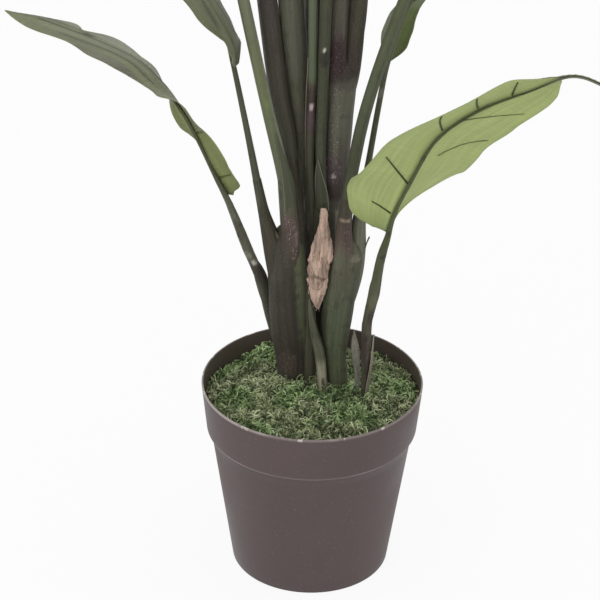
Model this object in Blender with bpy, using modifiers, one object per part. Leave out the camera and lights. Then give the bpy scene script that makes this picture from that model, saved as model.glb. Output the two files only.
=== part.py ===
"""A potted artificial banana plant: moulded stalks and fabric blades held in a cast block in a plastic pot.

Metres, +Z up. The origin is on the pot's axis, at the surface that the pot stands on.
"""

import math

import bmesh
import bpy
from mathutils import Vector

MM = 0.001
GAP = 0.3 * MM

# Pot: an open tapered shell with a taller band below its rim.
POT_HEIGHT = 156.5 * MM
POT_RIM_RADIUS = 85.0 * MM
POT_BAND_FOOT_RADIUS = 81.0 * MM
POT_BAND_FOOT_Z = 119.0 * MM
POT_BODY_TOP_RADIUS = 77.7 * MM
POT_BASE_RADIUS = 60.5 * MM
POT_STEP_HEIGHT = 3.0 * MM
POT_CORNER = 1.5 * MM
POT_WALL = 1.6 * MM
POT_FLOOR = 3.0 * MM
POT_STEPS = 48

# The cast block fills the pot to here, and the moss lies on it.
FILLER_TOP_Z = 134.0 * MM
MOSS_EDGE_Z = 146.0 * MM
MOSS_CROWN = 9.0 * MM
MOSS_TILT = 4.0 * MM
MOSS_LUMP = 0.9 * MM
MOSS_RINGS = 5

BLADE_THICKNESS = 0.8 * MM
BLADE_COLUMNS = 4
BLADE_LEAST_HALF_WIDTH = 1.8 * MM
MIDRIB_END_RADIUS = 1.0 * MM
MIDRIB_SHARE = 0.93
POINTS_PER_SPAN = 2
STALK_SIDES = 8
TRUNK_SIDES = 12

# Colours are linear. A leaf that isn't named has the usual ones.
STALK_COLOUR = (0.070, 0.078, 0.045)
BLADE_COLOUR = (0.17, 0.20, 0.11)
STALK_COLOURS = {"front_left": (0.13, 0.15, 0.085), "front": (0.12, 0.14, 0.08)}
BLADE_COLOURS = {"low_right": (0.30, 0.36, 0.14)}
STEM_COLOURS = {
    "left_trunk": (0.045, 0.038, 0.028),
    "right_trunk": (0.075, 0.085, 0.05),
    "rear_trunk": (0.05, 0.05, 0.035),
    "centre_sheath": (0.07, 0.075, 0.045),
    "dry_sheath": (0.16, 0.15, 0.14),
    "upper_sheath": (0.09, 0.092, 0.065),
}

# Trunks and sheaths, from the foot up: x, y, z and radius at each point, in millimetres.
TRUNKS = {
    "left_trunk": [
        (-14, 12, 100, 11.5), (-14.5, 12, 158, 12.6), (-17.2, 12, 199, 15.4),
        (-19.9, 13.5, 244, 15.3), (-21.3, 13.5, 272, 14.6), (-22.2, 13, 288, 13.0),
    ],
    "right_trunk": [
        (19, 2, 104, 7.5), (19, 2, 156, 8.0), (17, 4, 182, 9.5),
        (17.8, 6, 207, 12.0), (21.4, 7, 237, 11.6), (26.2, 8, 264, 10.8),
    ],
    "rear_trunk": [
        (3, 34, 100, 12.0), (3, 34, 158, 12.5), (4, 35.5, 199, 13.8),
        (5, 35, 244, 14.0), (4.5, 33, 280, 14.6), (4, 32, 300, 14.8),
    ],
    "centre_sheath": [
        (8, -8, 112, 3.2), (7.6, -7, 158, 3.8), (5.4, -5, 183, 4.3),
        (1.6, -1, 197, 4.0), (-1.6, -2, 215, 2.4), (-3.2, -3, 231, 0.6),
    ],
    "dry_sheath": [
        (33.5, -6, 118, 2.0), (33.4, -6, 160, 2.2), (32.8, -5.4, 180, 2.6),
        (31.6, -4.5, 196, 3.4), (31.0, -4, 203, 1.4),
    ],
    "upper_sheath": [
        (11.5, 33, 276, 5.2), (12, 30, 302, 6.4), (13.2, 24.5, 333, 9.2),
        (14.8, 22, 352, 10.2), (16.6, 20, 381, 11.0), (18.2, 19.4, 408, 11.7),
    ],
}

# The husk is a curled scale that lies over the joint of the trunks.
HUSK_ROUTE = [(5.5, 10, 302), (5.4, 3, 287), (5.2, -0.5, 265), (4.8, -1.5, 243), (3.2, 0, 220)]
HUSK_HALF_WIDTH = 9.6 * MM
HUSK_THICKNESS = 1.4 * MM
HUSK_END_SHARE = 0.2
HUSK_CURL = 0.35
HUSK_COLUMNS = 6

# The leaves, in millimetres and degrees. A stalk's points are x, y, z and radius, from its foot up to the
# blade's foot. A blade's points are x, y, z, roll and fold, on to its tip, and "foot" is the roll and fold
# at its foot. Roll turns the blade about its midrib from facing up, and fold is how far its halves rise
# from flat. "widest" is how far along the blade its greatest width lies.
LEAVES = {
    "low_left": {
        "stalk": [(-25, 34, 112, 3.0), (-25, 34, 161, 3.0), (-30.5, 30, 185, 3.1), (-41.7, 18, 239, 3.4),
                  (-50.7, 10, 268, 3.5), (-60.8, 4, 300, 2.8), (-66.1, 2, 315, 2.2)],
        "blade": [(-77.5, 0, 341, 30, 12), (-87.6, 1.3, 364, 45, 4), (-98.5, 4, 384, 54, -3),
                  (-115.6, 14, 400.5, 27, -6), (-140.4, 30, 414.7, 17, -7), (-198, 58, 428, 6, -8),
                  (-232, 70, 432, -6, -20)],
        "foot": (22, 8), "width": 62, "widest": 0.34,
    },
    "low_right": {
        "stalk": [(39.5, -12, 116, 2.6), (39.5, -12, 158, 2.6), (40.2, -12.5, 180, 3.7),
                  (40.2, -13, 203, 3.8), (41, -15.5, 222, 4.1), (45.4, -22, 249, 4.1),
                  (49.5, -33, 285, 3.4), (53.7, -42, 308, 2.4)],
        "blade": [(58, -52, 333, -18, 30), (69, -68, 369, -20, 5), (85, -90, 413, -30, -10),
                  (113, -111, 447, -40, -17), (146, -128, 471, -46, -10), (172, -138, 487, -28, -9),
                  (192, -150, 487, -42, -12), (214, -163, 478, -45, -14)],
        "foot": (2, 42), "width": 77, "widest": 0.21,
    },
    "mid_left": {
        "stalk": [(-29.5, 14, 262, 3.2), (-33, 10.5, 280, 4.2), (-39.1, 5, 303.5, 3.5), (-42.9, 2, 327, 3.1),
                  (-50.1, 0, 369, 2.5), (-60.6, -4, 427, 2.0)],
        "blade": [(-66, -6, 450, -28, 2), (-81.5, -8, 480, -16, -7), (-106.5, -10, 518, -6, -5),
                  (-142, -8, 569, 0, -4), (-190, 0, 610, 0, -5), (-245, 10, 630, 3, -8),
                  (-300, 20, 628, 6, -12)],
        "foot": (-50, 0), "width": 98, "widest": 0.45,
    },
    "mid_right": {
        "stalk": [(31.5, 11, 240, 3.0), (32.3, 12.2, 268, 3.6), (33, 13, 290, 3.8), (39.5, 18, 337, 2.5),
                  (46.6, 22, 386, 2.2), (51.5, 26, 413, 1.9)],
        "blade": [(59.8, 30, 440.6, -60, -3), (70, 36, 464, -64, -1), (91.6, 46, 497, -52, 0),
                  (122, 62, 545, -30, -1), (165, 84, 585, -12, -4), (215, 108, 605, -6, -8),
                  (266, 130, 606, 0, -12)],
        "foot": (-58, -5), "width": 100, "widest": 0.35,
    },
    "front_left": {
        "stalk": [(-20, 6, 264, 4.4), (-20.4, 5, 299, 5.2), (-22.8, 2, 330, 5.3), (-37.2, -2, 398, 4.6),
                  (-53.4, -8, 481, 4.5), (-80, -34, 625, 3.0)],
        "blade": [(-108, -60, 690, 6, 20), (-145, -95, 745, 4, 8), (-190, -138, 780, 0, -2),
                  (-238, -182, 795, -4, -10), (-285, -225, 785, -8, -14)],
        "foot": (8, 28), "width": 125, "widest": 0.36,
    },
    "front_right": {
        "stalk": [(22, 4.5, 240, 4.0), (22, 3.5, 295, 4.5), (28.4, 0, 347, 4.9), (36.8, -6, 396, 4.7),
                  (52, -12, 454, 4.6), (80, -23, 545, 4.2), (104, -34, 615, 3.0)],
        "blade": [(140, -52, 680, -5, 18), (186, -76, 735, -3, 8), (242, -104, 770, 2, -3),
                  (300, -130, 785, 5, -10), (358, -154, 775, 8, -14)],
        "foot": (-8, 28), "width": 125, "widest": 0.36,
    },
    "left": {
        "stalk": [(-16.5, 18, 262, 4.6), (-17.5, 18.5, 300, 5.4), (-20.6, 18, 355, 5.9),
                  (-27.8, 15.5, 397, 6.4), (-36.5, 14, 471, 6.6), (-52, 20, 600, 5.4), (-84, 34, 735, 3.2)],
        "blade": [(-118, 46, 815, -6, 20), (-165, 62, 885, -3, 8), (-225, 80, 940, 0, -4),
                  (-290, 98, 970, 4, -12), (-355, 115, 975, 8, -16)],
        "foot": (-8, 28), "width": 140, "widest": 0.36,
    },
    "back_left": {
        "stalk": [(-5, 34, 274, 4.4), (-5.5, 32, 297, 5.6), (-8, 28.5, 341, 7.0), (-14.2, 24, 400, 8.2),
                  (-19.8, 20, 470, 9.0), (-30, 24, 620, 6.8), (-44, 36, 800, 4.8), (-53, 46, 900, 3.4)],
        "blade": [(-64, 60, 990, 6, 20), (-78, 78, 1080, 4, 10), (-97, 100, 1170, 0, 2),
                  (-122, 128, 1250, -4, -6), (-155, 162, 1310, -8, -12)],
        "foot": (8, 28), "width": 145, "widest": 0.36,
    },
    "front": {
        "stalk": [(-2, 22.5, 276, 2.6), (-2.5, 20, 305, 3.0), (-4.2, 11, 350, 3.1), (-3.2, 8.5, 410, 3.1),
                  (-3.6, 7, 474, 3.1), (-4, -4, 600, 3.1), (-7, -24, 735, 2.4)],
        "blade": [(-10, -52, 815, 5, 20), (-14, -92, 885, 3, 8), (-19, -140, 930, 0, -4),
                  (-24, -192, 950, -3, -10), (-29, -245, 945, -5, -14)],
        "foot": (6, 28), "width": 120, "widest": 0.36,
    },
    "top": {
        "stalk": [(6, 23.5, 276, 3.0), (5.6, 18, 305, 3.5), (3.8, 9, 350, 4.0), (5, 7.2, 430, 4.5),
                  (6.1, 6.6, 474, 4.6), (10, 0, 650, 4.6), (16, -7, 800, 4.0), (22, -14, 910, 3.2)],
        "blade": [(30, -24, 1000, -5, 20), (41, -38, 1090, -3, 10), (56, -56, 1180, 0, 2),
                  (76, -79, 1265, 3, -6), (104, -108, 1345, 6, -10), (116, -121, 1372, 7, -12)],
        "foot": (-6, 28), "width": 138, "widest": 0.36,
    },
    "back": {
        "stalk": [(3, 40.5, 274, 4.0), (3, 40.5, 300, 5.0), (1, 39, 350, 6.6), (-1, 36.5, 420, 7.4),
                  (-2, 35.5, 475, 7.6), (4, 42, 620, 6.4), (19, 78, 840, 3.2)],
        "blade": [(24, 108, 925, 5, 20), (30, 150, 1000, 3, 8), (37, 205, 1060, 0, -4),
                  (45, 262, 1095, -3, -10), (52, 318, 1105, -5, -14)],
        "foot": (6, 28), "width": 142, "widest": 0.36,
    },
    "back_right": {
        "stalk": [(14, 17.5, 388, 4.4), (13.8, 17, 412, 5.9), (14.2, 17, 440, 7.1), (14.8, 17.5, 475, 7.5),
                  (21, 26, 590, 6.4), (33, 43, 760, 4.8), (45, 60, 900, 3.3)],
        "blade": [(58, 78, 985, -5, 20), (78, 104, 1070, -3, 8), (106, 138, 1145, 0, -3),
                  (140, 178, 1205, 3, -10), (178, 222, 1245, 5, -14)],
        "foot": (-6, 28), "width": 138, "widest": 0.36,
    },
    "right": {
        "stalk": [(23.4, 20.6, 388, 4.1), (24.8, 21.8, 412, 5.1), (27.4, 23.7, 440, 6.1),
                  (29.4, 25, 475, 6.8), (37, 31, 600, 5.8), (66, 44, 715, 3.2)],
        "blade": [(102, 58, 790, -6, 20), (150, 76, 855, -3, 8), (208, 95, 900, 0, -4),
                  (272, 112, 925, 4, -12), (336, 126, 925, 8, -16)],
        "foot": (-8, 28), "width": 140, "widest": 0.36,
    },
}

# What stands in each socketed piece.
IN_THE_BLOCK = ("left_trunk", "right_trunk", "rear_trunk", "centre_sheath", "dry_sheath",
                "stalk_low_left", "stalk_low_right")
IN_TRUNKS = {
    "left_trunk": ("stalk_left", "stalk_front_left", "stalk_mid_left"),
    "right_trunk": ("stalk_front_right", "stalk_mid_right"),
    "rear_trunk": ("stalk_back_left", "stalk_front", "stalk_top", "stalk_back", "upper_sheath"),
    "upper_sheath": ("stalk_back_right", "stalk_right"),
}


def clear_scene():
    for item in list(bpy.data.objects):
        bpy.data.objects.remove(item)


def new_collection(name):
    collection = bpy.data.collections.new(name)
    bpy.context.scene.collection.children.link(collection)
    return collection


def new_material(name, colour, roughness, metallic=0.0):
    material = bpy.data.materials.new(name)
    material.use_nodes = True
    shader = material.node_tree.nodes["Principled BSDF"]
    shader.inputs["Base Color"].default_value = (*colour, 1.0)
    shader.inputs["Roughness"].default_value = roughness
    shader.inputs["Metallic"].default_value = metallic
    return material


def add_object(name, data, collection, material=None):
    item = bpy.data.objects.new(name, data)
    collection.objects.link(item)
    if material:
        data.materials.append(material)
    return item


def make_cutter(item):
    item.hide_render = True
    item.display_type = "WIRE"


def in_metres(points):
    return [Vector(point[:3]) * MM for point in points]


def catmull_rom(before, start, end, after, t):
    """The point at share t of a smooth span from start to end."""
    pull = (end - before) * t + (2 * before - 5 * start + 4 * end - after) * t ** 2
    pull += (3 * start - before - 3 * end + after) * t ** 3
    return start + pull / 2


def smooth_route(points, per_span=POINTS_PER_SPAN):
    """Points along a smooth curve through the given ones, per_span to each span."""
    ends = [2 * points[0] - points[1], *points, 2 * points[-1] - points[-2]]
    route = []
    for span in range(len(points) - 1):
        for step in range(per_span):
            route.append(catmull_rom(*ends[span:span + 4], step / per_span))
    route.append(points[-1].copy())
    return route


def distances(route):
    """How far along the route each of its points lies."""
    reached = [0.0]
    for start, end in zip(route, route[1:]):
        reached.append(reached[-1] + (end - start).length)
    return reached


def tangent_at(route, index):
    return (route[min(index + 1, len(route) - 1)] - route[max(index - 1, 0)]).normalized()


def add_tube(name, route, radii, sides, collection, material=None):
    """A closed round tube along the route, with its own radius at each point."""
    curve = bpy.data.curves.new(name, "CURVE")
    curve.dimensions = "3D"
    curve.bevel_depth = 1.0
    curve.bevel_resolution = (sides - 4) // 2
    curve.use_fill_caps = True
    spline = curve.splines.new("POLY")
    spline.points.add(len(route) - 1)
    for knot, place, radius in zip(spline.points, route, radii):
        knot.co = (*place, 1.0)
        knot.radius = radius
    spline.use_smooth = True
    return add_object(name, curve, collection, material)


def tube_to_mesh(item, collection, material=None):
    """The tube as one welded mesh object, which a Boolean can cut or use."""
    graph = bpy.context.evaluated_depsgraph_get()
    mesh = bpy.data.meshes.new_from_object(item.evaluated_get(graph))
    shape = bmesh.new()
    shape.from_mesh(mesh)
    bmesh.ops.remove_doubles(shape, verts=shape.verts, dist=1e-6)
    bmesh.ops.recalc_face_normals(shape, faces=shape.faces)
    shape.to_mesh(mesh)
    shape.free()
    name, place = item.name, item.matrix_world.copy()
    bpy.data.objects.remove(item)
    mesh.materials.clear()
    solid = add_object(name, mesh, collection, material)
    solid.matrix_world = place
    mesh.shade_smooth()
    mesh.set_sharp_from_angle(angle=math.radians(50))
    return solid


def add_socket_cutter(name, route, radii, sides, cutters):
    """A tube a gap wider than the piece that it clears, and a gap longer at the foot."""
    below = (route[0] - route[1]).normalized() * GAP
    longer = [route[0] + below, *route[1:]]
    wider = [radius + GAP for radius in radii]
    cutter = tube_to_mesh(add_tube(f"clear_{name}", longer, wider, sides, cutters), cutters)
    make_cutter(cutter)
    return cutter


def cut(item, cutter):
    boolean = item.modifiers.new(f"cut {cutter.name}", "BOOLEAN")
    boolean.operation = "DIFFERENCE"
    boolean.object = cutter


def smooth_values(values):
    """Numbers that go with a route's points, blended along it as smooth_route blends its places."""
    return smooth_route([Vector(pair) for pair in values])


def leaf_stations(leaf):
    """The leaf's smooth route, and the index on it where the blade starts."""
    route = smooth_route(in_metres(leaf["stalk"] + leaf["blade"]))
    return route, (len(leaf["stalk"]) - 1) * POINTS_PER_SPAN


def leaf_radii(route, first, leaf):
    """The stalk's radius at each station, which tapers on as the blade's midrib."""
    stalk = smooth_values([(point[3] * MM, 0, 0) for point in leaf["stalk"]])
    radii = [value.x for value in stalk[:first]]
    reached = distances(route)
    for along in reached[first:]:
        share = (along - reached[first]) / (reached[-1] - reached[first])
        radii.append(stalk[-1].x + (MIDRIB_END_RADIUS - stalk[-1].x) * share)
    return radii


def blade_half_width(share, width, widest):
    """An oblong outline, rounded at the foot and drawn out to a point at the tip."""
    stretched = share ** (math.log(0.5) / math.log(widest))
    outline = math.sin(math.pi * stretched) ** 0.6 if 0 < share < 1 else 0.0
    return max(width * MM / 2 * outline, BLADE_LEAST_HALF_WIDTH)


def add_sheet(name, rows, thickness, offset, collection, material):
    """A thin closed sheet from rows of points across it."""
    shape = bmesh.new()
    grid = [[shape.verts.new(place) for place in row] for row in rows]
    for lower, upper in zip(grid, grid[1:]):
        for column in range(len(lower) - 1):
            shape.faces.new((lower[column], upper[column], upper[column + 1], lower[column + 1]))
    mesh = bpy.data.meshes.new(name)
    shape.to_mesh(mesh)
    shape.free()
    mesh.shade_smooth()
    sheet = add_object(name, mesh, collection, material)
    solidify = sheet.modifiers.new("thickness", "SOLIDIFY")
    solidify.thickness = thickness
    solidify.offset = offset


def add_blade(name, leaf, route, first, radii, collection, material):
    """A folded oblong sheet that lies on the midrib, a gap above it."""
    turns = smooth_values([(*leaf["foot"], 0), *((point[3], point[4], 0) for point in leaf["blade"])])
    reached = distances(route)
    length = reached[-1] - reached[first]
    rows = []
    for index in range(first, len(route)):
        tangent = tangent_at(route, index)
        roll, fold, _ = (math.radians(angle) for angle in turns[index - first])
        level = (Vector((0, 0, 1)) - tangent * tangent.z).normalized()
        up = level * math.cos(roll) + tangent.cross(level) * math.sin(roll)
        side = tangent.cross(up)
        centre = route[index] + up * (radii[index] + GAP) / math.cos(fold)
        half = blade_half_width((reached[index] - reached[first]) / length, leaf["width"], leaf["widest"])
        row = []
        for column in range(BLADE_COLUMNS + 1):
            across = (2 * column / BLADE_COLUMNS - 1) * half
            row.append(centre + side * across * math.cos(fold) + up * abs(across) * math.sin(fold))
        rows.append(row)
    add_sheet(name, rows, BLADE_THICKNESS, -1.0, collection, material)


def add_leaves(parts, cutters, clearances):
    for name, leaf in LEAVES.items():
        blade_look = new_material(f"blade_{name}", BLADE_COLOURS.get(name, BLADE_COLOUR), 0.5)
        stalk_look = new_material(f"stalk_{name}", STALK_COLOURS.get(name, STALK_COLOUR), 0.55)
        stalk = f"stalk_{name}"
        route, first = leaf_stations(leaf)
        radii = leaf_radii(route, first, leaf)
        end = first + round((len(route) - 1 - first) * MIDRIB_SHARE) + 1
        add_tube(stalk, route[:end], radii[:end], STALK_SIDES, parts, stalk_look)
        spans_held = 3 if stalk in IN_THE_BLOCK else 2
        held = slice(0, spans_held * POINTS_PER_SPAN + 1)
        clearances[stalk] = add_socket_cutter(stalk, route[held], radii[held], STALK_SIDES, cutters)
        add_blade(f"blade_{name}", leaf, route, first, radii, parts, blade_look)


def add_trunks(parts, cutters, clearances):
    made = {}
    for name, points in TRUNKS.items():
        route = smooth_route(in_metres(points))
        radii = [value.x for value in smooth_values([(point[3] * MM, 0, 0) for point in points])]
        clearances[name] = add_socket_cutter(name, route, radii, TRUNK_SIDES, cutters)
        tube = add_tube(name, route, radii, TRUNK_SIDES, parts)
        made[name] = tube_to_mesh(tube, parts, new_material(name, STEM_COLOURS[name], 0.6))
    for name, held in IN_TRUNKS.items():
        for piece in held:
            cut(made[name], clearances[piece])


def add_husk(parts):
    """A dry scale: a strip that narrows to both ends, its sides curled back around the trunks."""
    route = smooth_route(in_metres(HUSK_ROUTE))
    reached = distances(route)
    rows = []
    for index, place in enumerate(route):
        tangent = tangent_at(route, index)
        out = (Vector((0, -1, 0)) + tangent * tangent.y).normalized()
        side = tangent.cross(out)
        bulge = math.sin(math.pi * (reached[index] / reached[-1]) ** 0.8) ** 0.8
        half = HUSK_HALF_WIDTH * (HUSK_END_SHARE + (1 - HUSK_END_SHARE) * bulge)
        turns = [2 * column / HUSK_COLUMNS - 1 for column in range(HUSK_COLUMNS + 1)]
        rows.append([place + side * half * turn - out * half * HUSK_CURL * turn ** 2 for turn in turns])
    add_sheet("husk", rows, HUSK_THICKNESS, 0.0, parts, new_material("husk_tan", (0.39, 0.29, 0.22), 0.8))


def add_turned(name, profile, steps, collection, material):
    """A shape turned about the Z axis, from a profile that starts and ends on the axis."""
    mesh = bpy.data.meshes.new(name)
    points = [(radius, 0, z) for radius, z in profile]
    mesh.from_pydata(points, [(n, n + 1) for n in range(len(points) - 1)], [])
    turned = add_object(name, mesh, collection, material)
    screw = turned.modifiers.new("turn", "SCREW")
    screw.steps = steps
    screw.render_steps = steps
    screw.use_merge_vertices = True
    screw.merge_threshold = 1e-5
    screw.use_smooth_shade = True
    return turned


def pot_radius(z):
    """The pot's outer radius at height z: a tapered body, a soft step, and the tapered rim band."""
    if z >= POT_BAND_FOOT_Z:
        share = (z - POT_BAND_FOOT_Z) / (POT_HEIGHT - POT_BAND_FOOT_Z)
        return POT_BAND_FOOT_RADIUS + (POT_RIM_RADIUS - POT_BAND_FOOT_RADIUS) * share
    body_top = POT_BAND_FOOT_Z - POT_STEP_HEIGHT
    if z >= body_top:
        share = (z - body_top) / POT_STEP_HEIGHT
        eased = math.sin(share * math.pi / 2)
        return POT_BODY_TOP_RADIUS + (POT_BAND_FOOT_RADIUS - POT_BODY_TOP_RADIUS) * eased
    return POT_BASE_RADIUS + (POT_BODY_TOP_RADIUS - POT_BASE_RADIUS) * z / body_top


def pot_bends():
    """Heights at which the pot's wall bends, from the rim down."""
    steps = [POT_BAND_FOOT_Z - POT_STEP_HEIGHT * share for share in (0, 0.4, 0.7, 1)]
    return [POT_HEIGHT, *steps]


def pot_inside(low, high, clear=0.0):
    """Points up the pot's inner wall from height low to height high, drawn in by the clearance."""
    heights = [low, *(z for z in reversed(pot_bends()) if low < z < high), high]
    return [(pot_radius(z) - POT_WALL - clear, z) for z in heights]


def add_pot(parts):
    outside = [(pot_radius(z), z) for z in pot_bends()]
    corner = [(pot_radius(POT_CORNER), POT_CORNER), (POT_BASE_RADIUS - POT_CORNER, 0)]
    profile = [(0, POT_FLOOR), *pot_inside(POT_FLOOR, POT_HEIGHT), *outside, *corner, (0, 0)]
    add_turned("pot", profile, POT_STEPS, parts, new_material("pot_plastic", (0.105, 0.083, 0.08), 0.55))


def add_filler(parts, clearances):
    """The cast block, with a socket for each stem that stands in it."""
    side = pot_inside(POT_FLOOR + GAP, FILLER_TOP_Z, GAP)
    profile = [(0, FILLER_TOP_Z), *reversed(side), (0, POT_FLOOR + GAP)]
    grey = new_material("filler_grey", (0.35, 0.34, 0.32), 0.9)
    block = add_turned("potting_filler", profile, POT_STEPS, parts, grey)
    for piece in IN_THE_BLOCK:
        cut(block, clearances[piece])


def moss_lift(x, y):
    """How far the moss rises above its edge height: a low mound, fuller in front, with soft lumps."""
    reach = math.hypot(x, y) / POT_BODY_TOP_RADIUS
    mound = MOSS_CROWN * max(0.0, 1 - reach ** 2)
    lumps = math.sin(x / (9 * MM)) * math.cos(y / (8 * MM)) + math.sin((x + 2 * y) / (15 * MM))
    return mound - MOSS_TILT * y / POT_BODY_TOP_RADIUS + MOSS_LUMP * lumps


def add_moss(parts, clearances):
    bottom_z = FILLER_TOP_Z + GAP
    (foot_radius, _), (edge_radius, _) = pot_inside(bottom_z, MOSS_EDGE_Z, GAP)
    rings = [(edge_radius * ring / MOSS_RINGS, MOSS_EDGE_Z) for ring in range(MOSS_RINGS + 1)]
    profile = [*rings, (foot_radius, bottom_z), (0, bottom_z)]
    draft = add_turned("moss_layer", profile, POT_STEPS, parts, None)
    moss = tube_to_mesh(draft, parts, new_material("moss_green", (0.08, 0.10, 0.05), 0.9))
    for vertex in moss.data.vertices:
        if vertex.co.z > bottom_z + GAP:
            place = vertex.co
            place.z += moss_lift(place.x, place.y)
            place.xy *= min(1.0, (pot_radius(place.z) - POT_WALL - GAP) / max(place.xy.length, GAP))
    for piece in IN_THE_BLOCK:
        cut(moss, clearances[piece])


def main():
    clear_scene()
    parts = new_collection("potted_banana_plant")
    cutters = new_collection("cutters")
    clearances = {}
    add_leaves(parts, cutters, clearances)
    add_trunks(parts, cutters, clearances)
    add_husk(parts)
    add_pot(parts)
    add_filler(parts, clearances)
    add_moss(parts, clearances)


main()
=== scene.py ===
import math

import bmesh
import bpy
import numpy as np
from mathutils import Matrix, Vector


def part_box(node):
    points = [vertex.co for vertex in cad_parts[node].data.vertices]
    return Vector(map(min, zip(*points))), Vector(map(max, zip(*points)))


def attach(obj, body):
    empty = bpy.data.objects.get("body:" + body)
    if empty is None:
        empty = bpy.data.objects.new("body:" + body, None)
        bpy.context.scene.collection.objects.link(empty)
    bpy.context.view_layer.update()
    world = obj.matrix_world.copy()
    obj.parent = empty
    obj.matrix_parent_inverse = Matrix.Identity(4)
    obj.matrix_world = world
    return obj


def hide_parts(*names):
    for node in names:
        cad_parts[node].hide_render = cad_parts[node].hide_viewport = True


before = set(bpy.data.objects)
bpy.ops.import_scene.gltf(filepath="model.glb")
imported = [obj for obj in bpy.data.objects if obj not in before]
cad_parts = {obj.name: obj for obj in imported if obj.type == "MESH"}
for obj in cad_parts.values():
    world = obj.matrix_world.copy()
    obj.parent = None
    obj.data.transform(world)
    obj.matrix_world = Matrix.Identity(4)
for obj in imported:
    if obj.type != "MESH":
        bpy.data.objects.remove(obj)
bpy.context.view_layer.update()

mm = 0.001
gap = 0.3 * mm  # between a piece and its neighbour
scene = bpy.context.scene


def srgb(red, green, blue):  # a colour as a swatch book gives it, made linear
    parts = [part / 255 for part in (red, green, blue)]
    return tuple(part / 12.92 if part < 0.04 else ((part + 0.055) / 1.055) ** 2.4 for part in parts)


def addObject(name, data):
    item = bpy.data.objects.new(name, data)
    scene.collection.objects.link(item)
    return item


def finishPiece(item, slotName, *nodes):  # every piece stands still on the one body
    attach(item, "root")
    if nodes:
        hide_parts(*nodes)
    return item


# Node trees

def feed(tree, socket, value):
    if isinstance(value, bpy.types.Node):
        value = value.outputs[0]
    if isinstance(value, bpy.types.NodeSocket):
        tree.links.new(value, socket)
    elif value is not None:
        socket.default_value = value


def addNode(tree, kind, feeds=None, **settings):
    node = tree.nodes.new(kind)
    for name, value in settings.items():
        setattr(node, name, value)
    for socket, value in (feeds or {}).items():
        feed(tree, node.inputs[socket], value)
    return node


def calc(tree, operation, *values):
    return addNode(tree, "ShaderNodeMath", dict(enumerate(values)), operation=operation).outputs[0]


def times(tree, first, second):
    return calc(tree, "MULTIPLY", first, second)


def vectorCalc(tree, operation, *values):
    node = addNode(tree, "ShaderNodeVectorMath", dict(enumerate(values)), operation=operation)
    return node.outputs["Value" if operation in ("DOT_PRODUCT", "LENGTH") else "Vector"]


def scaled(tree, vector, factor):
    return addNode(tree, "ShaderNodeVectorMath", {0: vector, "Scale": factor}, operation="SCALE").outputs[0]


def parted(tree, vector):
    return addNode(tree, "ShaderNodeSeparateXYZ", {0: vector}).outputs


def combined(tree, *parts):
    return addNode(tree, "ShaderNodeCombineXYZ", dict(enumerate(parts))).outputs[0]


def noise(tree, place, scale, detail=2.0, **more):
    return addNode(tree, "ShaderNodeTexNoise", {"Vector": place, "Scale": scale, "Detail": detail, **more})


def spread(tree, value, low, high, newLow=0.0, newHigh=1.0):  # stretches a range, smoothly and clamped
    feeds = {"Value": value, "From Min": low, "From Max": high, "To Min": newLow, "To Max": newHigh}
    return addNode(tree, "ShaderNodeMapRange", feeds, interpolation_type="SMOOTHSTEP").outputs[0]


def mixColour(tree, factor, first, second, blend="MIX"):
    node = addNode(tree, "ShaderNodeMix", {0: factor}, data_type="RGBA", blend_type=blend)
    for index, colour in ((6, first), (7, second)):
        feed(tree, node.inputs[index], (*colour, 1.0) if isinstance(colour, tuple) else colour)
    return node.outputs[2]


def attributeOf(tree, name, output="Vector"):
    return addNode(tree, "ShaderNodeAttribute", attribute_name=name).outputs[output]


def objectPlace(tree):
    return addNode(tree, "ShaderNodeTexCoord").outputs["Object"]


def newTree(name, kind, inputs, outputs):  # an input's value is its default, or the word for its type
    tree = bpy.data.node_groups.new(name, kind)

    def addSocket(label, value, side):
        word = value if isinstance(value, str) else {int: "Int", float: "Float"}[type(value)]
        socket = tree.interface.new_socket(label, in_out=side, socket_type=f"NodeSocket{word}")
        if not isinstance(value, str):
            socket.default_value = value

    for label, value in inputs.items():
        addSocket(label, value, "INPUT")
    for label, value in outputs.items():
        addSocket(label, value, "OUTPUT")
    return tree, tree.nodes.new("NodeGroupInput").outputs, tree.nodes.new("NodeGroupOutput").inputs


# Camera, floor and light

view = {"elevation": 30.3, "distance": 2.5, "target": (-0.0102, 0, 0.228), "roll": 0.73, "lens": 198.4}
studio = {
    "worldLight": 0.82, "keyPower": 9.0, "keySize": 1.6, "keyPlace": (-0.9, -1.5, 2.2),
    "keyAim": (0, 0, 0.35), "floorSize": 14.0, "floorColour": (0.92, 0.92, 0.92), "floorTone": 0.985,
    "floorMottle": 3.0, "floorWhitening": 0.9,
}


def addCamera():
    lens = bpy.data.cameras.new("camera")
    lens.sensor_width = 36
    lens.lens = view["lens"]
    lens.clip_start = 0.05
    lens.clip_end = 60
    item = addObject("camera", lens)
    lean = math.radians(view["elevation"])
    back = Vector((0, -math.cos(lean), math.sin(lean)))
    roll = Matrix.Rotation(math.radians(view["roll"]), 4, "Z")
    turn = back.to_track_quat("Z", "Y").to_matrix().to_4x4() @ roll
    item.matrix_world = Matrix.Translation(Vector(view["target"]) + back * view["distance"]) @ turn
    scene.camera = item


def seenRay(tree):  # 1 where a ray shows the surface straight, in a mirror or through glass
    rays = addNode(tree, "ShaderNodeLightPath").outputs
    seen = calc(tree, "ADD", rays["Is Camera Ray"], rays["Is Glossy Ray"])
    return calc(tree, "MINIMUM", calc(tree, "ADD", seen, rays["Is Transmission Ray"]), 1.0)


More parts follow.
